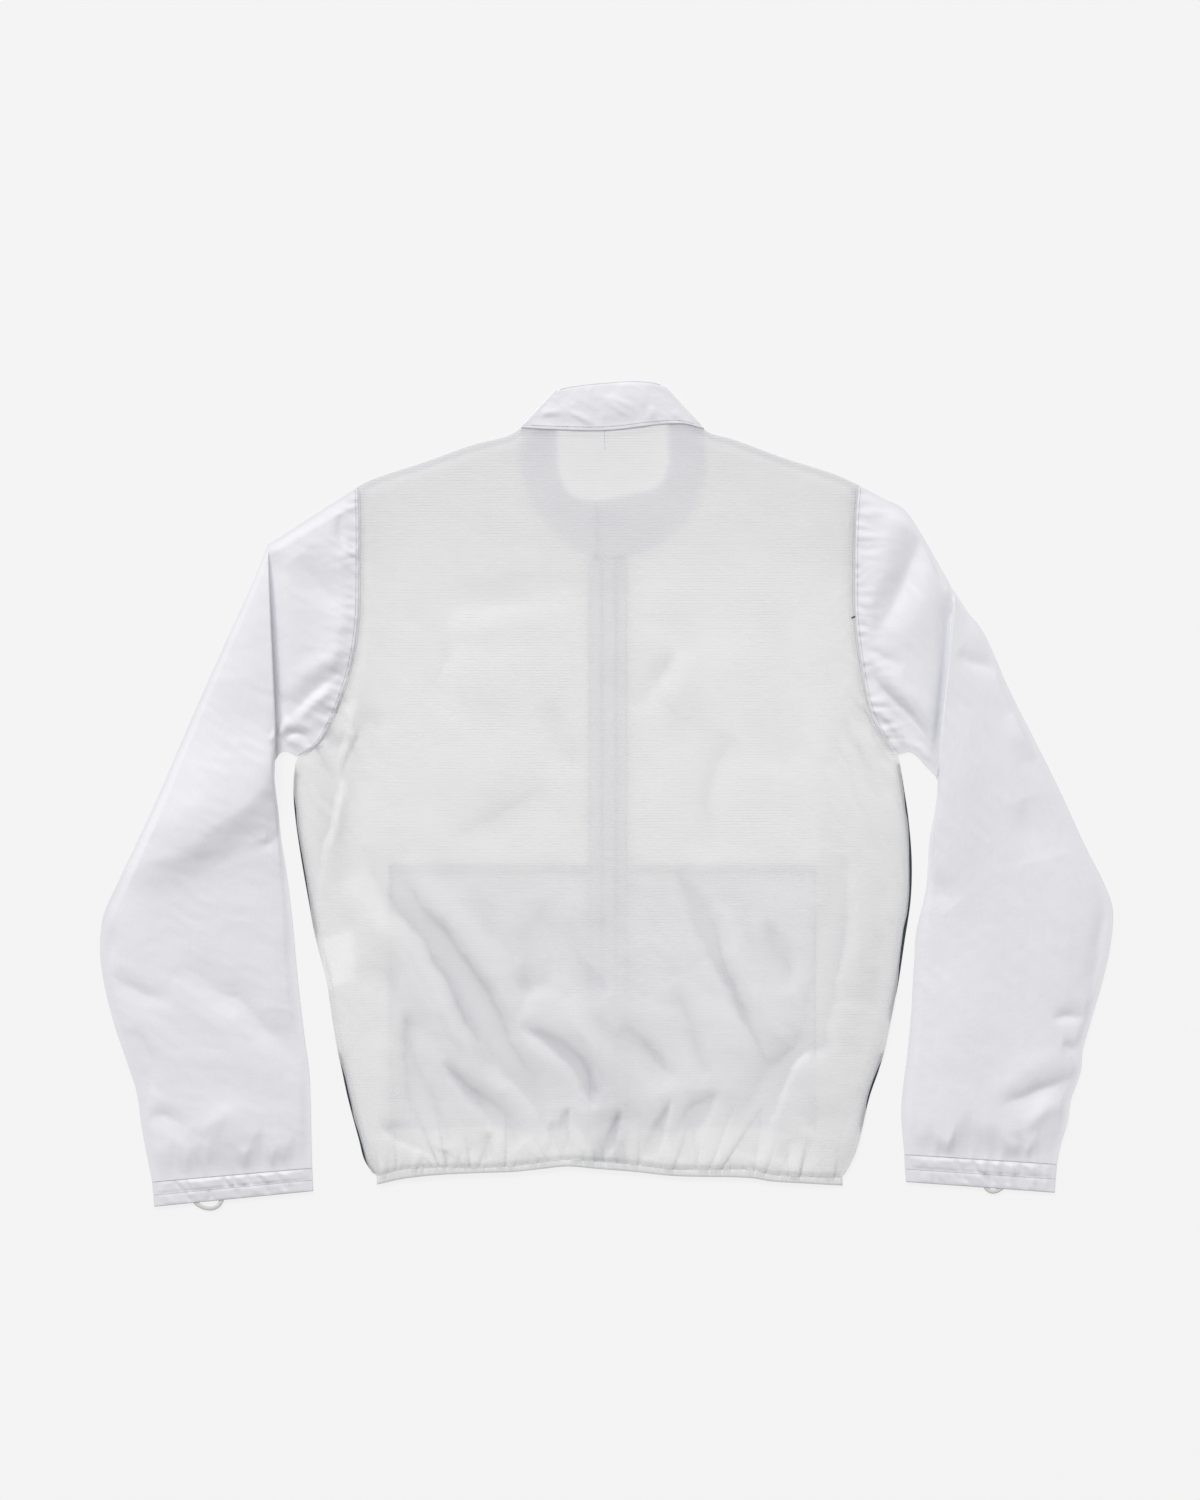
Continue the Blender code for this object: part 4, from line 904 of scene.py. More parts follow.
def woven(name, grid, finish, seam_gap=20.0, closed=False, painted_light=0.0):
    """A piece of cloth from rows of points, in table millimetres. closed joins each row's ends."""
    rows, columns = grid.shape[:2]
    if closed:
        grid = np.concatenate([grid, grid[:, :1]], axis=1)
    around = np.linalg.norm(np.diff(grid, axis=1), axis=2).mean(0)
    along = np.linalg.norm(np.diff(grid, axis=0), axis=2).mean(1)
    u = np.concatenate([[0.0], np.cumsum(around)])
    v = np.concatenate([[0.0], np.cumsum(along)])
    index = np.arange(rows * columns).reshape(rows, columns)
    if closed:
        index = np.column_stack([index, index[:, 0]])
    faces = np.stack([index[:-1, :-1], index[:-1, 1:], index[1:, 1:], index[1:, :-1]], axis=-1)
    piece = cut_mesh(name, grid[:, :columns].reshape(-1, 3), faces.reshape(-1, 4).tolist(), finish,
                     np.zeros((rows * columns, 2)), np.ravel(seam_gap * np.ones((rows, columns))),
                     np.ravel(painted_light * np.ones((rows, columns))))
    laid = np.stack(np.meshgrid(u, v), axis=-1)
    corners = np.stack([laid[:-1, :-1], laid[:-1, 1:], laid[1:, 1:], laid[1:, :-1]], axis=2)
    piece.data.uv_layers["Cut"].data.foreach_set("uv", (corners * 0.001).ravel())
    return piece


BACK_COLUMNS, BACK_ROWS = 385, 255
EDGE_MARKS = 2000
xs = np.linspace(HEM_LEFT, HEM_RIGHT, BACK_COLUMNS)
bottom = np.column_stack([xs, seam_y(xs) + SEAM])
tips = [armhole(s, 2)[0] for s in ("left", "right")]
top_line = np.vstack([shoulder("left", 6.0)[::-1][:-1], spline(BACK_NECK, 4.0)[:-1],
                      shoulder("right", 6.0)])
tx = np.linspace(tips[0][0], tips[1][0], BACK_COLUMNS)
top = np.column_stack([tx, np.interp(tx, top_line[:, 0], top_line[:, 1])])
edges = []
for side, x_low in (("left", HEM_LEFT), ("right", HEM_RIGHT)):
    ys = np.linspace(seam_y(x_low) + 4.0, UNDERARM_Y, 150)
    low = np.vstack([[x_low, seam_y(x_low) + SEAM], np.column_stack([back_side(ys, side), ys])])
    line = np.vstack([low, armhole(side, 120)[::-1][1:]])
    edges.append(evenly(line, EDGE_MARKS))
steps = 0.45 + 0.55 * smooth(np.linspace(0, 5, BACK_ROWS - 1))      # closer rows by the hem
v = np.concatenate([[0.0], np.cumsum(steps) / steps.sum()])
left, right = [np.column_stack([np.interp(v, np.linspace(0, 1, EDGE_MARKS), line[:, k])
                                for k in (0, 1)]) for line in edges]
# Points between the four edges.
U, V = np.meshgrid(np.linspace(0, 1, BACK_COLUMNS), v)
plan = ((1 - V)[..., None] * bottom[None] + V[..., None] * top[None]
        + (1 - U)[..., None] * left[:, None] + U[..., None] * right[:, None]
        - ((1 - U) * (1 - V))[..., None] * bottom[0] - (U * (1 - V))[..., None] * bottom[-1]
        - ((1 - U) * V)[..., None] * top[0] - (U * V)[..., None] * top[-1])
seams = SIDE_SEAMS + ARM_SEAMS + SHOULDER_SEAMS + [spline(BACK_NECK, 6.0)]
gap = np.min([nearest(plan[..., 0], plan[..., 1], line)[0] for line in seams], axis=0)
grid = np.dstack([plan, back_level(plan[..., 0], plan[..., 1])])
# Its second, darker colour is reached in the grid lines and seam allowances, and where the back is
# painted darker as shade.
BACK_SHEER = ripstop("ripstop_back", (246.6, 246.6, 246.4), (208, 208, 212), 0.875)


def sideways(line):
    """Unit steps to the left of a line, one at each of its points."""
    along = np.gradient(line, axis=0)
    across = np.column_stack([-along[:, 1], along[:, 0]])
    return across / np.linalg.norm(across, axis=1)[:, None]


def creases_in(z, reach, depth):
    """How deep each point of a grid lies below the cloth about it: 0, or up to 1 at depth."""
    soft = np.pad(z, reach, mode="edge")
    for axis in (0, 1):
        run = np.cumsum(np.insert(soft, 0, 0.0, axis=axis), axis=axis)
        wide = 2 * reach + 1
        ahead = np.take(run, range(wide, run.shape[axis]), axis=axis)
        behind = np.take(run, range(0, run.shape[axis] - wide), axis=axis)
        soft = (ahead - behind) / wide
    return np.clip((soft - z) / depth, 0.0, 1.0)


# The back is painted darker and denser in its creases and in the pinched lines of the gathers:
# # painted shade, partly standing for cloth doubled there. It is also painted darker over the neck
# # opening, across the top of the back, along the right side below the armhole and within about
# # 60 mm of its seams.
painted_light = 0.4 * creases_in(grid[..., 2], 3, 1.4) + 0.6 * creases_in(grid[..., 2], 11, 2.8)
over_neck = np.clip(1.1 - np.hypot((plan[..., 0] - 5) / 52, (plan[..., 1] - 690) / 50), 0, 1)
yoke = smooth((plan[..., 1] - 545) / 70)
lower_right_side = smooth((plan[..., 0] - 193) / 12) * smooth((385 - plan[..., 1]) / 80)
by_seams = 1 - smooth(gap / 60)
painted_light = np.clip(painted_light + 0.12 * smooth(over_neck * 2.2) + 0.22 * yoke + 0.22 * lower_right_side
                 + 0.12 * by_seams + 0.55 * gathers_at(plan[..., 0], plan[..., 1])[1], 0, 1)
back = woven("back_panel", grid, BACK_SHEER, seam_gap=gap, painted_light=painted_light)
# A centre mark of four stitches at the neck, a row beside each armhole, and a dark tack.
tick_x, tick_y = np.array([-0.5, -0.6, -0.3, 0.0]), np.array([702.0, 697.0, 692.0, 687.0])
tick = [np.column_stack([tick_x, tick_y, back_level(tick_x, tick_y) + 0.3])]
arm_rows = []
for side, sign in (("left", 1), ("right", -1)):
    line = armhole(side, 130)
    row = line + sign * sideways(line) * 2.2
    level = back_level(row[:, 0], row[:, 1]) + STITCH_LIFT
    arm_rows.append(np.column_stack([row, level])[3:-4])
tack_x, tack_y = np.array([230.0, 232.0]), np.array([529.5, 530.5])
tack = np.column_stack([tack_x, tack_y, back_level(tack_x, tack_y) + 0.5])
DARK_THREAD = spun("tack_thread_dark", (60, 62, 66), (88, 90, 94), 0.5)
side_tack = along_lines("tack_armhole", [tack], DARK_THREAD, 1.1, 2.2, 1.6, 1.0)
back_sewing = along_lines("stitches_back", arm_rows + tick, THREAD, 2.7, 2.2, 0.5, 0.4)
stand_for(back, "back")

# ------------------------------------------------------------------------------------------------
# Hem binding. A narrow ribbed elastic tape bound round the gathered hem, from one side of the
# zip round the back to the other, with one row of stitches at its upper edge.

RIB_PITCH = 2.2
TURN_RADIUS = 1.2
BINDING_ANGLES = (-80, -50, -20, 10, 40)
# Its section, from the seam to the lower edge: share of the width, how much the ribs swell it,
# how far it lies below its level.
BINDING_SECTION = ((0.0, 0.1, 0.5), (0.04, 0.6, 0.15), (0.16, 0.95, 0.0), (0.4, 1.0, 0.0),
                   (0.66, 1.0, 0.0), (0.9, 0.9, 0.08), (0.985, 0.5, 0.5), (1.0, 0.0, 1.7))
place, close = new_finish("elastic_ribbed", "UV")
ELASTIC = close(place.add("BsdfPrincipled", None, {
    "Base Color": place.stretched(1.0, 0.3, 1.0).noise(500.0, 3.0).blend(
        screen(238, 238, 238), screen(214, 215, 216)),
    "Roughness": place.noise(800.0) * 0.15 + 0.6,
    "Normal": place.add("Bump", None, {"Strength": 0.5, "Distance": 0.0003,
                                       "Height": place.noise(1400.0, 2.0)})}))


def binding_turn(edge, sign, angles):
    """The binding's turn round one side of the body."""
    turns = [(math.cos(math.radians(a)), math.sin(math.radians(a))) for a in angles]
    return [(edge + sign * TURN_RADIUS * (1 - c), TURN_RADIUS * (1 + s), 0.0) for c, s in turns]


left, right = HEM_LEFT - 0.5, HEM_RIGHT + 0.5
run_x = np.arange(left + 2.0, right - 2.0, RIB_PITCH / 4)
# The whole run round the hem: x, level, and how far the gathers stand off that level.
profile = [(x, 0.0, 0.0) for x in np.arange(ZIP_X - TAPE_HALF - SEAM, left + 3, -RIB_PITCH)]
profile += binding_turn(left, 1, BINDING_ANGLES)
wave = back_level(run_x, seam_y(run_x))
level = np.convolve(np.pad(wave, 60, mode="edge"), np.ones(121) / 121, mode="valid")
profile += [(x, z + 0.35, w) for x, z, w in zip(run_x, level, wave - level)]
profile += binding_turn(right, -1, BINDING_ANGLES[::-1])
profile += [(x, 0.0, 0.0) for x in np.arange(right - 3, ZIP_X + TAPE_HALF + SEAM, -RIB_PITCH)]
profile = np.array(profile)
run = np.concatenate([[0], np.cumsum(np.hypot(*np.diff(profile[:, :2], axis=0).T))])
rib = 0.5 + 0.5 * np.cos(2 * np.pi * run / RIB_PITCH)
rough = 0.55 + 0.45 * hills(run, run * 0, 24.0, 31)
band = []
run_x, level, wave = profile.T
on_back = level > 0.4
start = seam_y(run_x) + 0.9
for share, swell, drop in BINDING_SECTION:
    z = level + wave * (1.0 - 0.75 * smooth(share / 0.6))
    z = z - np.where(on_back, drop, -drop * 0.3)
    z = z + np.where(on_back, 0.4 * swell * rib * rough, 0.1)
    y = start + share * (hem_y(run_x) - seam_y(run_x) - 0.9)
    band.append(np.column_stack([run_x, y, np.maximum(z, 0.05)]))
binding = woven("hem_binding", np.array(band)[::-1], ELASTIC)
HEM_THREAD = spun("hem_thread", (164, 165, 170), (184, 185, 190), 0.5)
xs = np.linspace(HEM_LEFT + 2, HEM_RIGHT - 2, 260)
hem_row = np.column_stack([xs, seam_y(xs) + 0.5, back_level(xs, seam_y(xs)) + 0.5])
hem_sewing = along_lines("stitches_hem", [hem_row], HEM_THREAD, 2.2, 2.0, 0.4, 0.3)
stand_for(binding, "hem_band")

# ------------------------------------------------------------------------------------------------
# Collar. A stand of doubled lavender nylon, folded flat round the neck: its back half lies on
# top, its front halves lie under the back, where they show through it.

# Top edge of the collar over the back, left to right: x, y.
COLLAR_TOP = ((-45.5, 741), (-34.5, 744), (-12, 747), (21.5, 749.5), (43.5, 748.5), (55, 745))
COLLAR_FOLDS = (
    (-27, 730, -15, 725, -5, 712, 3, 6, -2.55),
    (-30, 724, -20, 716, -12, 709, 4, 4, 1.95),
    (40, 730, 36, 720, 31, 711, 4, 3, -2.4),
    (47, 728, 44, 720, 42, 712, 5, 5, 1.8),
    (38, 738, 52, 733, 68, 722, 9, 7, -3.0),
    (-62, 716, -50, 721, -34, 720, 5, 5, 1.8),
    (-62, 711, -50, 714, -36, 714, 5, 5, -2.25),
    (-42, 733, -28, 740, -14, 739, 7, 6, -2.25),
    (0, 716, 12, 712, 24, 716, 5, 5, -1.8),
    (60, 716, 66, 712, 76, 714, 4, 4, -1.8),
    (2, 738, 14, 730, 28, 734, 12, 12, 1.8),
)
LAYER_2 = 1.3            # level of the cloth that lies on the fronts
ROWS_UP = 26
COLLAR_LINES = 78        # lines across its back half
share = np.linspace(0.0, 1.0, ROWS_UP)
upper, under = [], []


def collar_line(seam, top, high, low):
    """One line across the stand, with the levels of its two cloths."""
    line = np.array(seam) + share[:, None] * (np.array(top) - np.array(seam))
    slider = 1.0 * np.exp(-(np.hypot(line[:, 0] - SLIDER_SPOT[0], line[:, 1] - SLIDER_SPOT[1])
                            / 22.0) ** 2)
    upper.append(np.column_stack([line, high + slider]))
    under.append(np.column_stack([line, low + slider]))


def collar_turn(seam, top, out, order):
    """The stand turns over itself at the side of the neck."""
    seam, top = np.array(seam), np.array(top)
    high = 2.6 + 1.0 * smooth(share * 6)
    mid, half = (LAYER_2 + high) / 2, (high - LAYER_2) / 2
    for angle in order:
        c, s = math.cos(math.radians(angle)), math.sin(math.radians(angle))
        for points, size in ((upper, half), (under, half - 0.6)):
            line = seam + np.outer(size * c, out) + share[:, None] * (top - seam)
            points.append(np.column_stack([line, mid + size * s]))


def collar_front(table):
    """Lines across a front half, whose seam runs on a little under the back."""
    line = spline(table, 2.5)
    for row in line[:-1]:
        seam, top = row[0:2], row[2:4]
        out = (seam - top) / np.linalg.norm(seam - top)
        yield seam + out * 5.0 * smooth((line[-1][1] - seam[1]) / 25.0), top


for seam, head in collar_front(COLLAR_FRONT_LEFT):
    collar_line(seam, head, LAYER_2 + 0.1, LAYER_2 + 0.7)
collar_turn(COLLAR_FRONT_LEFT[-1][0:2], COLLAR_FRONT_LEFT[-1][2:4], (-0.733, 0.680),
            range(-90, 91, 15))
neck = evenly(spline(BACK_NECK, 2.0), COLLAR_LINES)
heads = evenly(spline(COLLAR_TOP, 2.0), COLLAR_LINES)
for k in range(1, COLLAR_LINES - 1):
    from_end = np.minimum(k, COLLAR_LINES - 1 - k)
    line = neck[k] + share[:, None] * (heads[k] - neck[k])
    x, y = line[:, 0], line[:, 1]
    crown = 1.6 * np.sin(np.pi * np.clip(share, 0, 1)) ** 0.7 * smooth(from_end / 20)
    pull = 0.7 * seam_pull(np.full(ROWS_UP, k * 2.2), share * 42.0, 8.0, 9.0, 41)
    creases = folds_at(x, y, COLLAR_FOLDS, 9) + 0.9 * facets(x, y, 8.0, 43)
    fade = smooth(np.minimum(share, 1 - share) * 9) * smooth(from_end / 5)
    roll = 0.5 * smooth((share - 0.9) * 10)
    on_back = max(float(back_level(*neck[k])) + 0.3, 2.6)
    base = 3.6 + (on_back - 3.6) * (1 - smooth(share * 6))
    collar_line(neck[k], heads[k], base + crown + (upward(creases) - 0.5) * fade + pull - roll,
                np.minimum(base - 0.6, 3.0) + crown * 0.3)
collar_turn(COLLAR_FRONT_RIGHT[-1][0:2], COLLAR_FRONT_RIGHT[-1][2:4], (0.733, 0.680),
            range(90, -91, -15))
for seam, head in list(collar_front(COLLAR_FRONT_RIGHT))[::-1]:
    collar_line(seam, head, LAYER_2 + 0.1, LAYER_2 + 0.7)
upper, under = np.array(upper), np.array(under)
ring = np.concatenate([upper, under[:, ::-1]], axis=1)
COLLAR_NYLON = nylon("nylon_collar_cloth", (240, 239.6, 243.6), (226, 225.6, 232), 0.38, 0.7)
# The collar's front halves lie under the back; they are marked for painted light, so they are
# painted paler and given a faint glow.
under_back = (ring[..., 2].max(axis=1) < 3.0).astype(float)[::-1, None] * 0.9
collar = woven("collar_stand", ring[::-1], COLLAR_NYLON, closed=True, painted_light=under_back)
on_top = [k for k in range(len(upper)) if upper[k, 0, 2] > 3.3 and upper[k, 0, 1] > 702.0]
rows = [upper[on_top, 1] + [0, -1.0, 0.35], upper[on_top, 3] + [0, -1.2, 0.35],
        upper[on_top[1:-1], ROWS_UP - 1] + [0, -0.5, 0.3]]
collar_sewing = along_lines("stitches_collar", rows, THREAD, 2.5, 2.1, 0.5, 0.4)
stand_for(collar, "collar")

# ------------------------------------------------------------------------------------------------
# Sleeves. Each is one piece of lavender nylon sewn to a flattened tube, puckered along the
# armhole. Both are turned down beside the body, so the cloth lies over itself in a tuck.

# Sections from armhole to casing: outer edge x, y, inner edge x, y, share of the armhole's
# curve that the section keeps. The first ones lie above the tuck.
SECTIONS_ABOVE_TUCK = {"left": 5, "right": 6}
SLEEVE_LEFT = (
    (-230.8, 651, -286.8, 400, 1.0),
    (-251, 638, -292, 403.5, 0.62),
    (-274.5, 623, -298.5, 405, 0.3),
    (-297.5, 608, -303, 402.5, 0.08),
    (-312, 599, -305, 399.5, 0),
    (-313.5, 598, -307, 397, 0),
    (-322, 576.5, -307.5, 380.5, 0),
    (-334, 548, -306, 364.5, 0),
    (-348, 518, -304, 349, 0),
    (-369, 471.5, -301.5, 324.5, 0),
    (-391.5, 420.5, -297.5, 299.5, 0),
    (-417.5, 360, -294, 274.5, 0),
    (-437, 318, -291, 248.5, 0),
    (-454, 282, -289, 228, 0),
    (-467, 252, -287.5, 209, 0),
    (-470, 220.5, -285, 185, 0),
    (-466, 188, -282.5, 163, 0),
    (-456.5, 150.5, -279, 135, 0),
    (-445.5, 118, -275.5, 109, 0),
    (-436, 88.5, -274, 83, 0),
    (-431.5, 57.5, -273.5, 57.5, 0),
    (-427, 32.5, -273, 37, 0),
    (-421.5, 4.8, -272.5, 17.8, 0),
)
SLEEVE_RIGHT = (
    (236.3, 653, 273.8, 402, 1.0),
    (256, 642.5, 278, 403.5, 0.62),
    (277, 631.5, 283.5, 404.5, 0.3),
    (291, 613, 290, 401, 0.1),
    (309.5, 581, 298.5, 391.5, 0),
    (324, 555, 308, 382, 0),
    (325.5, 553.5, 309.5, 378.5, 0),
    (337.5, 535, 309, 364.5, 0),
    (353.5, 513.5, 307, 350.5, 0),
    (376.5, 462, 302, 322.5, 0),
    (400, 415.5, 300.5, 299.5, 0),
    (423, 369, 298.5, 276, 0),
    (446.5, 318, 293, 253, 0),
    (463, 285.5, 289, 234.5, 0),
    (472.5, 257.5, 288, 216, 0),
    (469.5, 220.5, 286.5, 192.5, 0),
    (460.5, 183, 285, 164.5, 0),
    (451, 150.5, 282.5, 136.5, 0),
    (444.5, 127.5, 280, 113.5, 0),
    (442.5, 107, 277, 92, 0),
    (433.5, 81, 275.5, 73.5, 0),
    (430.5, 60.5, 276, 57.5, 0),
    (424, 39, 277.5, 42, 0),
    (420.5, 21.3, 278.5, 30.3, 0),
)
SLEEVE_LEFT_FOLDS = (
    (-286, 586, -266, 560, -238, 530, 22, 15, -4.6),
    (-232, 508, -270, 482, -302, 453, 12, 9, 2.4),
    (-239, 482, -267, 462, -298, 434, 5, 10, -3.0),
    (-246, 462, -272, 448, -293, 425, 6, 6, 2.0),
    (-248, 625, -246, 608, -241, 590, 5, 4, -3.4),
    (-310, 416, -300, 427, -293, 438, 4, 5, 4.0),
    (-298, 420, -284, 422, -278, 409, 5, 4, -4.5),
    (-292, 412, -352, 344, -456, 292, 22, 60, 10.5),
    (-349, 397, -386, 350, -432, 322, 20, 16, 1.6),
    (-470, 206, -440, 186, -400, 178, 8, 14, -3.2),
    (-400, 208, -330, 162, -274, 100, 13, 19, -4.2),
    (-404, 190, -346, 150, -290, 88, 10, 22, 2.2),
    (-440, 150, -420, 110, -432, 70, 8, 14, -2.4),
    (-428, 60, -409, 64, -386, 55, 7, 10, -3.0),
    (-376, 44, -352, 66, -338, 40, 12, 12, 2.4),
    (-466, 250, -460, 226, -468, 200, 6, 8, -2.8),
    (-322, 323, -314, 318, -303, 332, 6, 9, -1.8),
    (-300, 250, -306, 200, -290, 140, 12, 16, 1.2),
)
SLEEVE_RIGHT_FOLDS = (
    (295, 616, 278, 558, 246, 504, 11, 24, -7.0),
    (268, 634, 260, 575, 242, 522, 24, 13, 4.2),
    (306, 598, 300, 550, 274, 506, 20, 13, 2.6),
    (242, 504, 260, 495, 279, 484, 6, 7, -2.6),
    (244, 481, 274, 448, 308, 411, 5, 8, -4.6),
    (256, 453, 282, 427, 310, 400, 4, 6, -4.0),
    (246, 495, 279, 462, 310, 430, 8, 7, 2.0),
    (296, 606, 308, 583, 317, 555, 7, 3, -4.6),
    (328, 498, 349, 486, 372, 482, 14, 7, -3.0),
    (376, 442, 388, 420, 401, 400, 9, 12, 2.2),
    (336, 446, 328, 340, 316, 250, 22, 44, 3.0),
    (463, 286, 464, 239, 451, 174, 5, 9, -3.2),
    (413, 154, 428, 159, 446, 160, 6, 6, -3.2),
    (423, 134, 434, 130, 446, 118, 6, 6, -3.4),
    (368, 74, 404, 90, 440, 102, 8, 12, -3.6),
    (386, 53, 409, 70, 430, 79, 9, 7, 2.6),
    (360, 80, 400, 112, 446, 118, 16, 20, 2.0),
    (382, 53, 388, 34, 395, 14, 7, 6, -3.0),
    (388, 360, 396, 330, 404, 304, 20, 14, -2.6),
    (298, 286, 312, 276, 326, 262, 10, 12, -2.0),
    (300, 200, 330, 150, 322, 100, 24, 18, 1.6),
)
SLEEVE_EDGE = 2.4        # level of the upper cloth at both edges
SLEEVE_ARCH = 3.4        # how much its middle stands higher
TUCK_RISE = 5.5          # how much the cloth below the tuck lies higher, at the tuck
TUCK_REACH = 46.0        # how fast that dies out down the sleeve
FLOOR_Z = 0.25           # level of the cloth that lies on the table
TUCK_DEPTH = 14.0        # how far the tuck is folded under at its deepest
# The cloth of the tuck: share of the way from the upper part to the lower, how far it is folded
# under as a share of its depth, share of the lip's level that it takes.
TUCK_STEPS = ((0.14, 0.45, 0.02), (0.28, 0.9, 0.1), (0.42, 1.0, 0.2), (0.56, 0.9, 0.3),
              (0.7, 0.45, 0.4), (0.84, -0.1, 0.62), (0.92, -0.14, 0.82), (0.97, -0.1, 0.95))
TOP_COLUMNS, FLOOR_COLUMNS = 118, 18
RIM = (60, 25, -10, -45)         # degrees at which the cloth's turn at an edge is marked


def round_tube(top, z, a, b, floor, outer_shift=np.zeros(2), inner_shift=np.zeros(2)):
    """Points round a flattened tube from edge a to edge b: over the top, round b, back along the
    floor and round a. A shift moves an edge sideways at its top."""
    points = [np.column_stack([top, z])]
    along = (b - a) / np.linalg.norm(b - a)
    for end, sign, angles, height, shift in ((b, 1, RIM, z[-1], inner_shift),
                                             (a, -1, RIM[::-1], z[0], outer_shift)):
        for angle in angles:
            c, s = math.cos(math.radians(angle)), math.sin(math.radians(angle))
            at = end - sign * along * 0.5 * (1 - c) + shift * max(s, 0.0)
            points.append([[*at, height / 2 * (1 + s) + 0.15]])
        if sign > 0:
            points.append(floor)
    return np.vstack(points)


def sleeve_grid(side, table, folds, seed):
    """Rings of points round the sleeve from the armhole to the casing."""
    tuck = SECTIONS_ABOVE_TUCK[side]
    upper_rows = spline(table[:tuck], 2.0)
    lower_rows = spline(table[tuck:], 2.5)
    curve = armhole(side, 120)
    chord = curve[0] + np.linspace(0, 1, 120)[:, None] * (curve[-1] - curve[0])
    swing = curve - chord
    toward = -1.0 if side == "left" else 1.0
    q = 0.5 - 0.5 * np.cos(np.pi * np.linspace(0.02, 0.98, TOP_COLUMNS))
    q = 0.55 * q + 0.45 * np.linspace(0.004, 0.996, TOP_COLUMNS)
    floor_q = np.linspace(0.996, 0.004, FLOOR_COLUMNS)
    last, first, final = upper_rows[-1], lower_rows[0], lower_rows[-1]
    rings = []

    def place(row, s):
        """Points across a section, at shares s of the way from its outer edge."""
        a, b = np.array(row[0:2]), np.array(row[2:4])
        bow = np.column_stack([np.interp(s, np.linspace(0, 1, 120), swing[:, k]) for k in (0, 1)])
        return a + np.outer(s, b - a) + row[4] * bow

    def level(plan, above):
        """Level of the upper cloth at its points, above the tuck or below it."""
        x, y = plan[:, 0], plan[:, 1]
        across, slant = toward * x, toward * y
        arch = 1 - np.abs(2 * q - 1) ** 3
        lift = SLEEVE_ARCH * arch + folds_at(x, y, folds, seed) * smooth(arch * 3)
        lift += 0.5 * facets(x * 0.8 - slant * 0.35, y * 0.6 + across * 0.3, 34.0, seed + 5)
        lift += 0.24 * facets(x * 0.9 - slant * 0.3, y * 0.7 + across * 0.2, 10.0, seed + 6)
        if above:
            gap, run, _ = nearest(x, y, curve)
            away = nearest(x, y, np.array([last[0:2], last[2:4]]))[0]
            lift = (lift + 2.0) * (0.3 + 0.7 * smooth(gap / 18))
            lift -= 7.0 * np.exp(-(away / 8.0) ** 1.4) * smooth(q * 5)
            crumple = facets(x * 1.1, y * 0.6 + across * 0.3, 9.0, seed + 9)
            lift += 2.4 * crumple * np.exp(-np.hypot(gap, (y - 430.0) * 0.5) / 24.0)
            crumple = facets(x * 0.7, y * 1.2 - across * 0.3, 6.5, seed + 12)
            lift += 1.6 * crumple * np.exp(-gap / 14.0)
            pull = seam_pull(run * ARMHOLE_RUN, gap, 8.0, 12.0, seed + 7)
            return (SLEEVE_EDGE + upward(lift) * smooth(np.minimum(q, 1 - q) * 15)
                    + 1.7 * pull * smooth(gap / 2.5) * smooth(arch * 4))
        away = nearest(x, y, np.array([first[0:2], first[2:4]]))[0]
        lift += TUCK_RISE * (0.3 + 0.7 * q) * np.exp(-away / TUCK_REACH) + 3.2 * arch
        # The cloth falls to the casing, over an uneven distance.
        above_cuff = nearest(x, y, np.array([final[0:2], final[2:4]]))[0]
        fall = 31.0 + 14.0 * hills(x * 1.5, x * 0, 30.0, seed + 8)
        fall += 11.0 * facets(x * 2.2, x * 0, 18.0, seed + 10)
        lift = lift * (0.08 + 0.92 * smooth(above_cuff / fall * 0.92 + 0.04))
        crimp = facets(x * 1.9 - slant * 0.5, y * 0.25, 14.0, seed + 11)
        lift += 1.3 * crimp * np.exp(-above_cuff / 16.0)
        return SLEEVE_EDGE + upward(lift) * smooth(np.minimum(q, 1 - q) * 15)

    def ring(row, top, moved, z):
        a, b = place(row, np.array([0.0]))[0], place(row, np.array([1.0]))[0]
        floor = np.column_stack([place(row, floor_q), np.full(FLOOR_COLUMNS, FLOOR_Z)])
        return round_tube(top + moved, z, a, b, floor, moved[0], moved[-1])

    still = np.zeros((TOP_COLUMNS, 2))
    for row in upper_rows:
        rings.append(ring(row, place(row, q), still, level(place(row, q), True)))
    # The tuck: the cloth runs on under the lower part, turns, and comes back as its lip.
    z_low = level(place(last, q), True)
    z_lip = level(place(first, q), False)
    deep = TUCK_DEPTH * smooth(q * 1.15) * (1 - 0.55 * smooth((q - 0.8) / 0.2)) + 0.5
    for t, out, mix in TUCK_STEPS:
        row = last + t * (first - last)
        moved = np.column_stack([toward * deep * out, -0.3 * deep * out])
        rings.append(ring(row, place(row, q), moved, z_low + mix * (z_lip - z_low)))
    for row in lower_rows:
        rings.append(ring(row, place(row, q), still, level(place(row, q), False)))
    return np.array(rings)


for side, table, folds, seed in (("left", SLEEVE_LEFT, SLEEVE_LEFT_FOLDS, 51),
                                 ("right", SLEEVE_RIGHT, SLEEVE_RIGHT_FOLDS, 71)):
    rings = sleeve_grid(side, table, folds, seed)
    grid = rings if side == "right" else rings[:, ::-1]
    sleeve = woven("sleeve_tube_" + side, grid, LAVENDER, closed=True)
    rows = [rings[1, 2:TOP_COLUMNS - 2] + [0, 0, STITCH_LIFT]]
    sewing = along_lines("stitches_armhole_" + side, rows, THREAD, 2.6, 2.2, 0.5, 0.4)
    stand_for(sleeve, "sleeve_" + side)

# ------------------------------------------------------------------------------------------------
# Cuffs. Each is a casing turned back from the sleeve's end over a short elastic, held by two
# rows of stitches, so that it puckers on the slant between them. A loop of narrow elastic hangs
# from its lower edge.

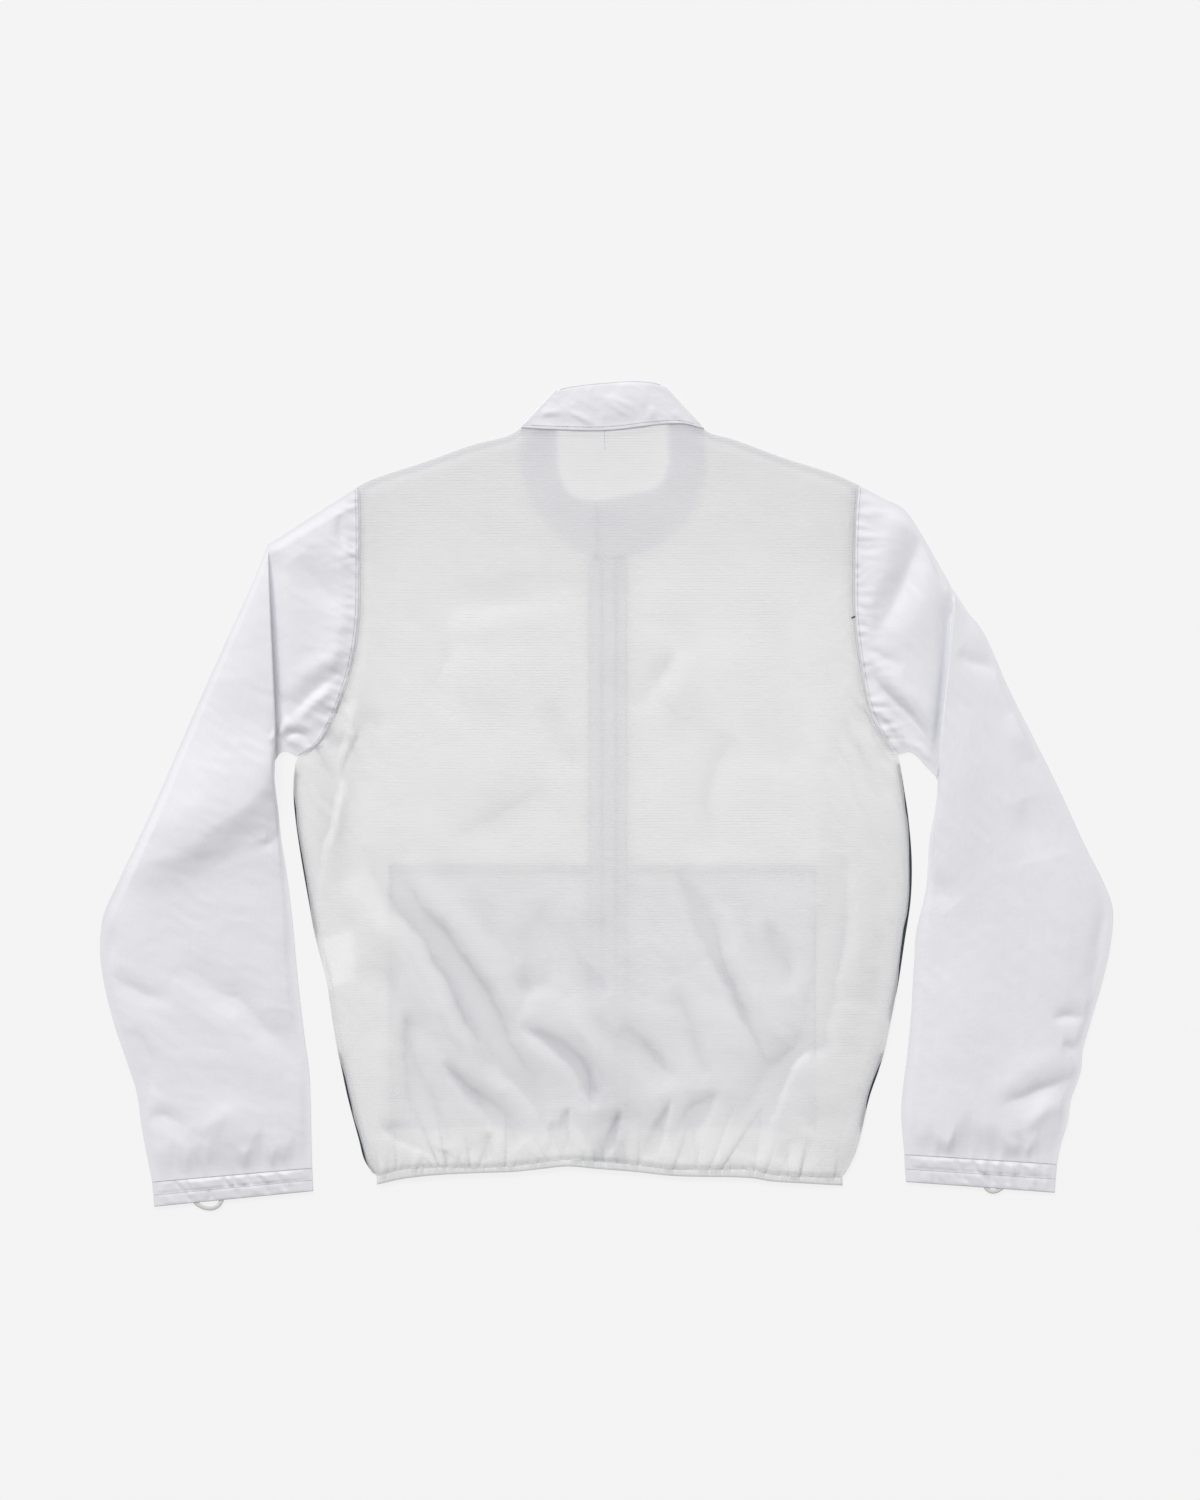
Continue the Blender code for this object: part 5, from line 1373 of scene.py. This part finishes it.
# Casings, from the sleeve's seam to the wrist edge: outer x, y, inner x, y.
CUFF_LEFT = ((-421.5, 4.5, -272.5, 17.5), (-420.5, -7, -272, 7), (-419.5, -18.5, -271.5, -4))
CUFF_RIGHT = ((420.5, 21, 278.5, 30), (419.5, 8, 279, 17.5), (418.5, -5.5, 280, 4.5))
# Puckers on the casing: share across from the outer edge, row where it starts and ends (0 at the
# seam, 1 at the wrist edge), how far it slants, half width, rise.
PUCKERS = {
    "left": ((0.14, 0.0, 1.0, 0.10, 1.92, -1.8), (0.21, 0.0, 0.6, 0.05, 1.76, -1.56),
             (0.30, 0.1, 0.9, 0.06, 2.4, 1.2), (0.44, 0.0, 0.5, 0.05, 1.92, -1.92),
             (0.475, 0.0, 0.5, 0.05, 1.76, 1.68), (0.50, 0.0, 0.55, 0.055, 1.76, -2.04),
             (0.55, 0.0, 0.5, 0.05, 1.92, 1.68), (0.59, 0.0, 0.55, 0.06, 1.92, -1.8),
             (0.66, 0.05, 1.0, 0.07, 2.08, -1.68), (0.70, 0.0, 0.5, 0.05, 1.92, 1.44),
             (0.77, 0.0, 0.9, 0.07, 1.92, -1.68), (0.83, 0.1, 0.7, 0.06, 2.4, 1.2),
             (0.35, 0.5, 1.0, 0.03, 1.76, -1.44), (0.52, 0.55, 1.0, 0.05, 1.92, -1.44)),
    "right": ((0.80, 0.1, 0.9, -0.06, 2.4, 1.2), (0.66, 0.0, 0.9, -0.07, 2.08, -1.68),
              (0.55, 0.0, 0.6, -0.05, 1.84, -2.04), (0.50, 0.0, 0.6, -0.05, 1.84, 1.68),
              (0.46, 0.0, 0.9, -0.06, 1.92, -2.04), (0.40, 0.0, 0.6, -0.05, 1.84, 1.68),
              (0.36, 0.0, 0.9, -0.05, 1.84, -1.92), (0.30, 0.05, 0.6, -0.05, 1.92, 1.56),
              (0.25, 0.0, 1.0, -0.06, 1.92, -1.68), (0.17, 0.1, 0.8, -0.05, 2.08, 1.2),
              (0.11, 0.0, 0.7, -0.05, 1.92, -1.56), (0.44, 0.5, 1.0, -0.03, 1.84, -1.44)),
}
# Elastic loops under the casings, centre line of the flat tape: x, y.
LOOPS = {
    "left": ((-386, -7), (-379.5, -16), (-369, -20.2), (-360, -17.5), (-354.5, -8)),
    "right": ((351.5, 9), (355, -1.5), (362, -4.5), (370, -0.5), (378, 8)),
}
LOOP_WIDTH = 4.0
# Section across a loop's tape: share of its width from the middle, level.
LOOP_SECTION = ((-0.5, 1.6), (-0.44, 2.1), (-0.2, 2.4), (0.2, 2.4), (0.44, 2.1), (0.5, 1.6))
CASING_COLUMNS, CASING_ROWS = 120, 22
TURNED_ROWS = (1.0, 0.985, 0.9, 0.8)     # the cloth that is turned under at the wrist edge
place, close = new_finish("elastic_loop", "UV")
rib = place.sum("COSINE", place.axis(0) * (2 * math.pi / 0.0011)) * 0.5 + 0.5
LOOP_ELASTIC = close(place.add("BsdfPrincipled", None, {
    "Base Color": (rib * 0.8).within().blend(screen(205, 209, 204), screen(221, 224, 219)),
    "Roughness": place.noise(900.0) * 0.15 + 0.6,
    "Normal": place.add("Bump", None, {"Strength": 0.5, "Distance": 0.0002, "Height": rib})}))
for side, table in (("left", CUFF_LEFT), ("right", CUFF_RIGHT)):
    q = np.linspace(0.006, 0.994, CASING_COLUMNS)
    floor_q = np.linspace(0.99, 0.01, FLOOR_COLUMNS)
    rings = []
    for number, t in enumerate([*np.linspace(0, 1, CASING_ROWS), *TURNED_ROWS]):
        turned = number >= CASING_ROWS
        row = np.array([np.interp(t, (0, 0.5, 1), [r[k] for r in table]) for k in range(4)])
        a, b = row[0:2], row[2:4]
        plan = a + np.outer(q, b - a)
        arch = 1 - np.abs(2 * q - 1) ** 4
        span = np.linalg.norm(b - a)
        lift = (2.6 - 1.9 * t) * arch + 0.8 * facets(plan[:, 0] * 1.6, plan[:, 1] * 0.7, 8.0, 91)
        for at, start, end, slant, width, rise in PUCKERS[side]:
            centre = at + slant * (t - start)
            length = np.clip((t - start) / 0.12, 0, 1) * np.clip((end - t) / 0.15, 0, 1)
            lift += rise * np.exp(-np.abs((q - centre) * span / width) ** 1.4) * length
        lift = lift * (0.25 + 0.75 * smooth(t / 0.14))
        lift -= 0.9 * np.exp(-((t - 0.5) / 0.07) ** 2)
        lift -= 0.9 * smooth((t - 0.9) * 10)
        z = 2.4 + upward(lift) * smooth(np.minimum(q, 1 - q) * 14)
        if turned:
            z = np.maximum(z - 0.9 - 0.8 * (number - CASING_ROWS + 1) / len(TURNED_ROWS), 0.8)
        floor = np.column_stack([a + np.outer(floor_q, b - a),
                                 np.full(FLOOR_COLUMNS, 0.6 if turned else FLOOR_Z)])
        rings.append(round_tube(plan, z, a, b, floor))
    rings = np.array(rings)
    grid = rings if side == "right" else rings[:, ::-1]
    casing = woven("cuff_casing_" + side, grid, CUFF_NYLON_SHADED, closed=True)
    rows = [rings[k, 1:CASING_COLUMNS - 1] + [0, 0, 0.25] for k in (0, CASING_ROWS // 2)]
    sewing = along_lines("stitches_cuff_" + side, rows, THREAD, 2.5, 2.1, 0.5, 0.4)
    stand_for(casing, "cuff_" + side)
    "sleeve_tube_" + side

    line = spline(LOOPS[side], 1.0)
    rows = [np.column_stack([line + sideways(line) * LOOP_WIDTH * share, np.full(len(line), level)])
            for share, level in LOOP_SECTION]
    loop = woven("cuff_loop_tape_" + side, np.array(rows)[::-1], LOOP_ELASTIC)
    stand_for(loop, "cuff_loop_" + side)
    "cuff_casing_" + side

# ------------------------------------------------------------------------------------------------
# Table, light and camera. The camera looks straight down through a long lens. A large soft light
# stands beyond the collar, a little to the left, and pale walls fill in from all round.

FRAME_CENTRE = (-0.00585, 0.0429)
FRAME_HEIGHT = 1.395     # what the picture's height covers
LENS = 100.0
SENSOR = 36.0
PART_LEVEL = 0.004       # level at which that height is right

TABLE_HALF = 30.0
TABLE_LEVEL = -0.0002

ground = bpy.data.meshes.new("table_top")
ground.from_pydata([(x * TABLE_HALF, y * TABLE_HALF, TABLE_LEVEL)
                    for x, y in ((-1, -1), (1, -1), (1, 1), (-1, 1))], [], [(0, 1, 2, 3)])
table_top = bpy.data.objects.new("table_top", ground)
bpy.context.scene.collection.objects.link(table_top)
place, close = new_finish("table_pale", "Object")
lit = place.add("BsdfDiffuse", None, {"Color": (0.10, 0.10, 0.10, 1.0)})
glow = place.add("Emission", None, {"Color": (1.0, 1.0, 1.0, 1.0), "Strength": 0.81})
ground.materials.append(close(place.add("AddShader", None, {0: lit, 1: glow})))

world = bpy.data.worlds.new("studio")
bpy.context.scene.world = world
world.use_nodes = True
world.node_tree.nodes["Background"].inputs["Color"].default_value = (1.0, 1.0, 1.0, 1.0)
world.node_tree.nodes["Background"].inputs["Strength"].default_value = 0.42


def soft_light(name, place, width, height, power):
    lamp = bpy.data.lights.new(name, "AREA")
    lamp.shape = "RECTANGLE"
    lamp.size, lamp.size_y, lamp.energy = width, height, power
    stand = bpy.data.objects.new(name, lamp)
    stand.location = place
    stand.rotation_euler = (-Vector(place)).to_track_quat("-Z", "Y").to_euler()
    bpy.context.scene.collection.objects.link(stand)


soft_light("soft_beyond_collar", (-5.2, 12.0, 10.4), 8.4, 5.2, 2000.0)
soft_light("soft_from_right", (5.0, -1.0, 5.5), 3.0, 3.0, 50.0)

lens = bpy.data.cameras.new("overhead")
lens.lens = LENS
lens.sensor_width = SENSOR
lens.clip_end = 50.0
camera = bpy.data.objects.new("overhead", lens)
camera.location = (*FRAME_CENTRE, FRAME_HEIGHT * LENS / SENSOR + PART_LEVEL)
bpy.context.scene.collection.objects.link(camera)
bpy.context.scene.camera = camera
bpy.context.scene.view_settings.view_transform = "Standard"
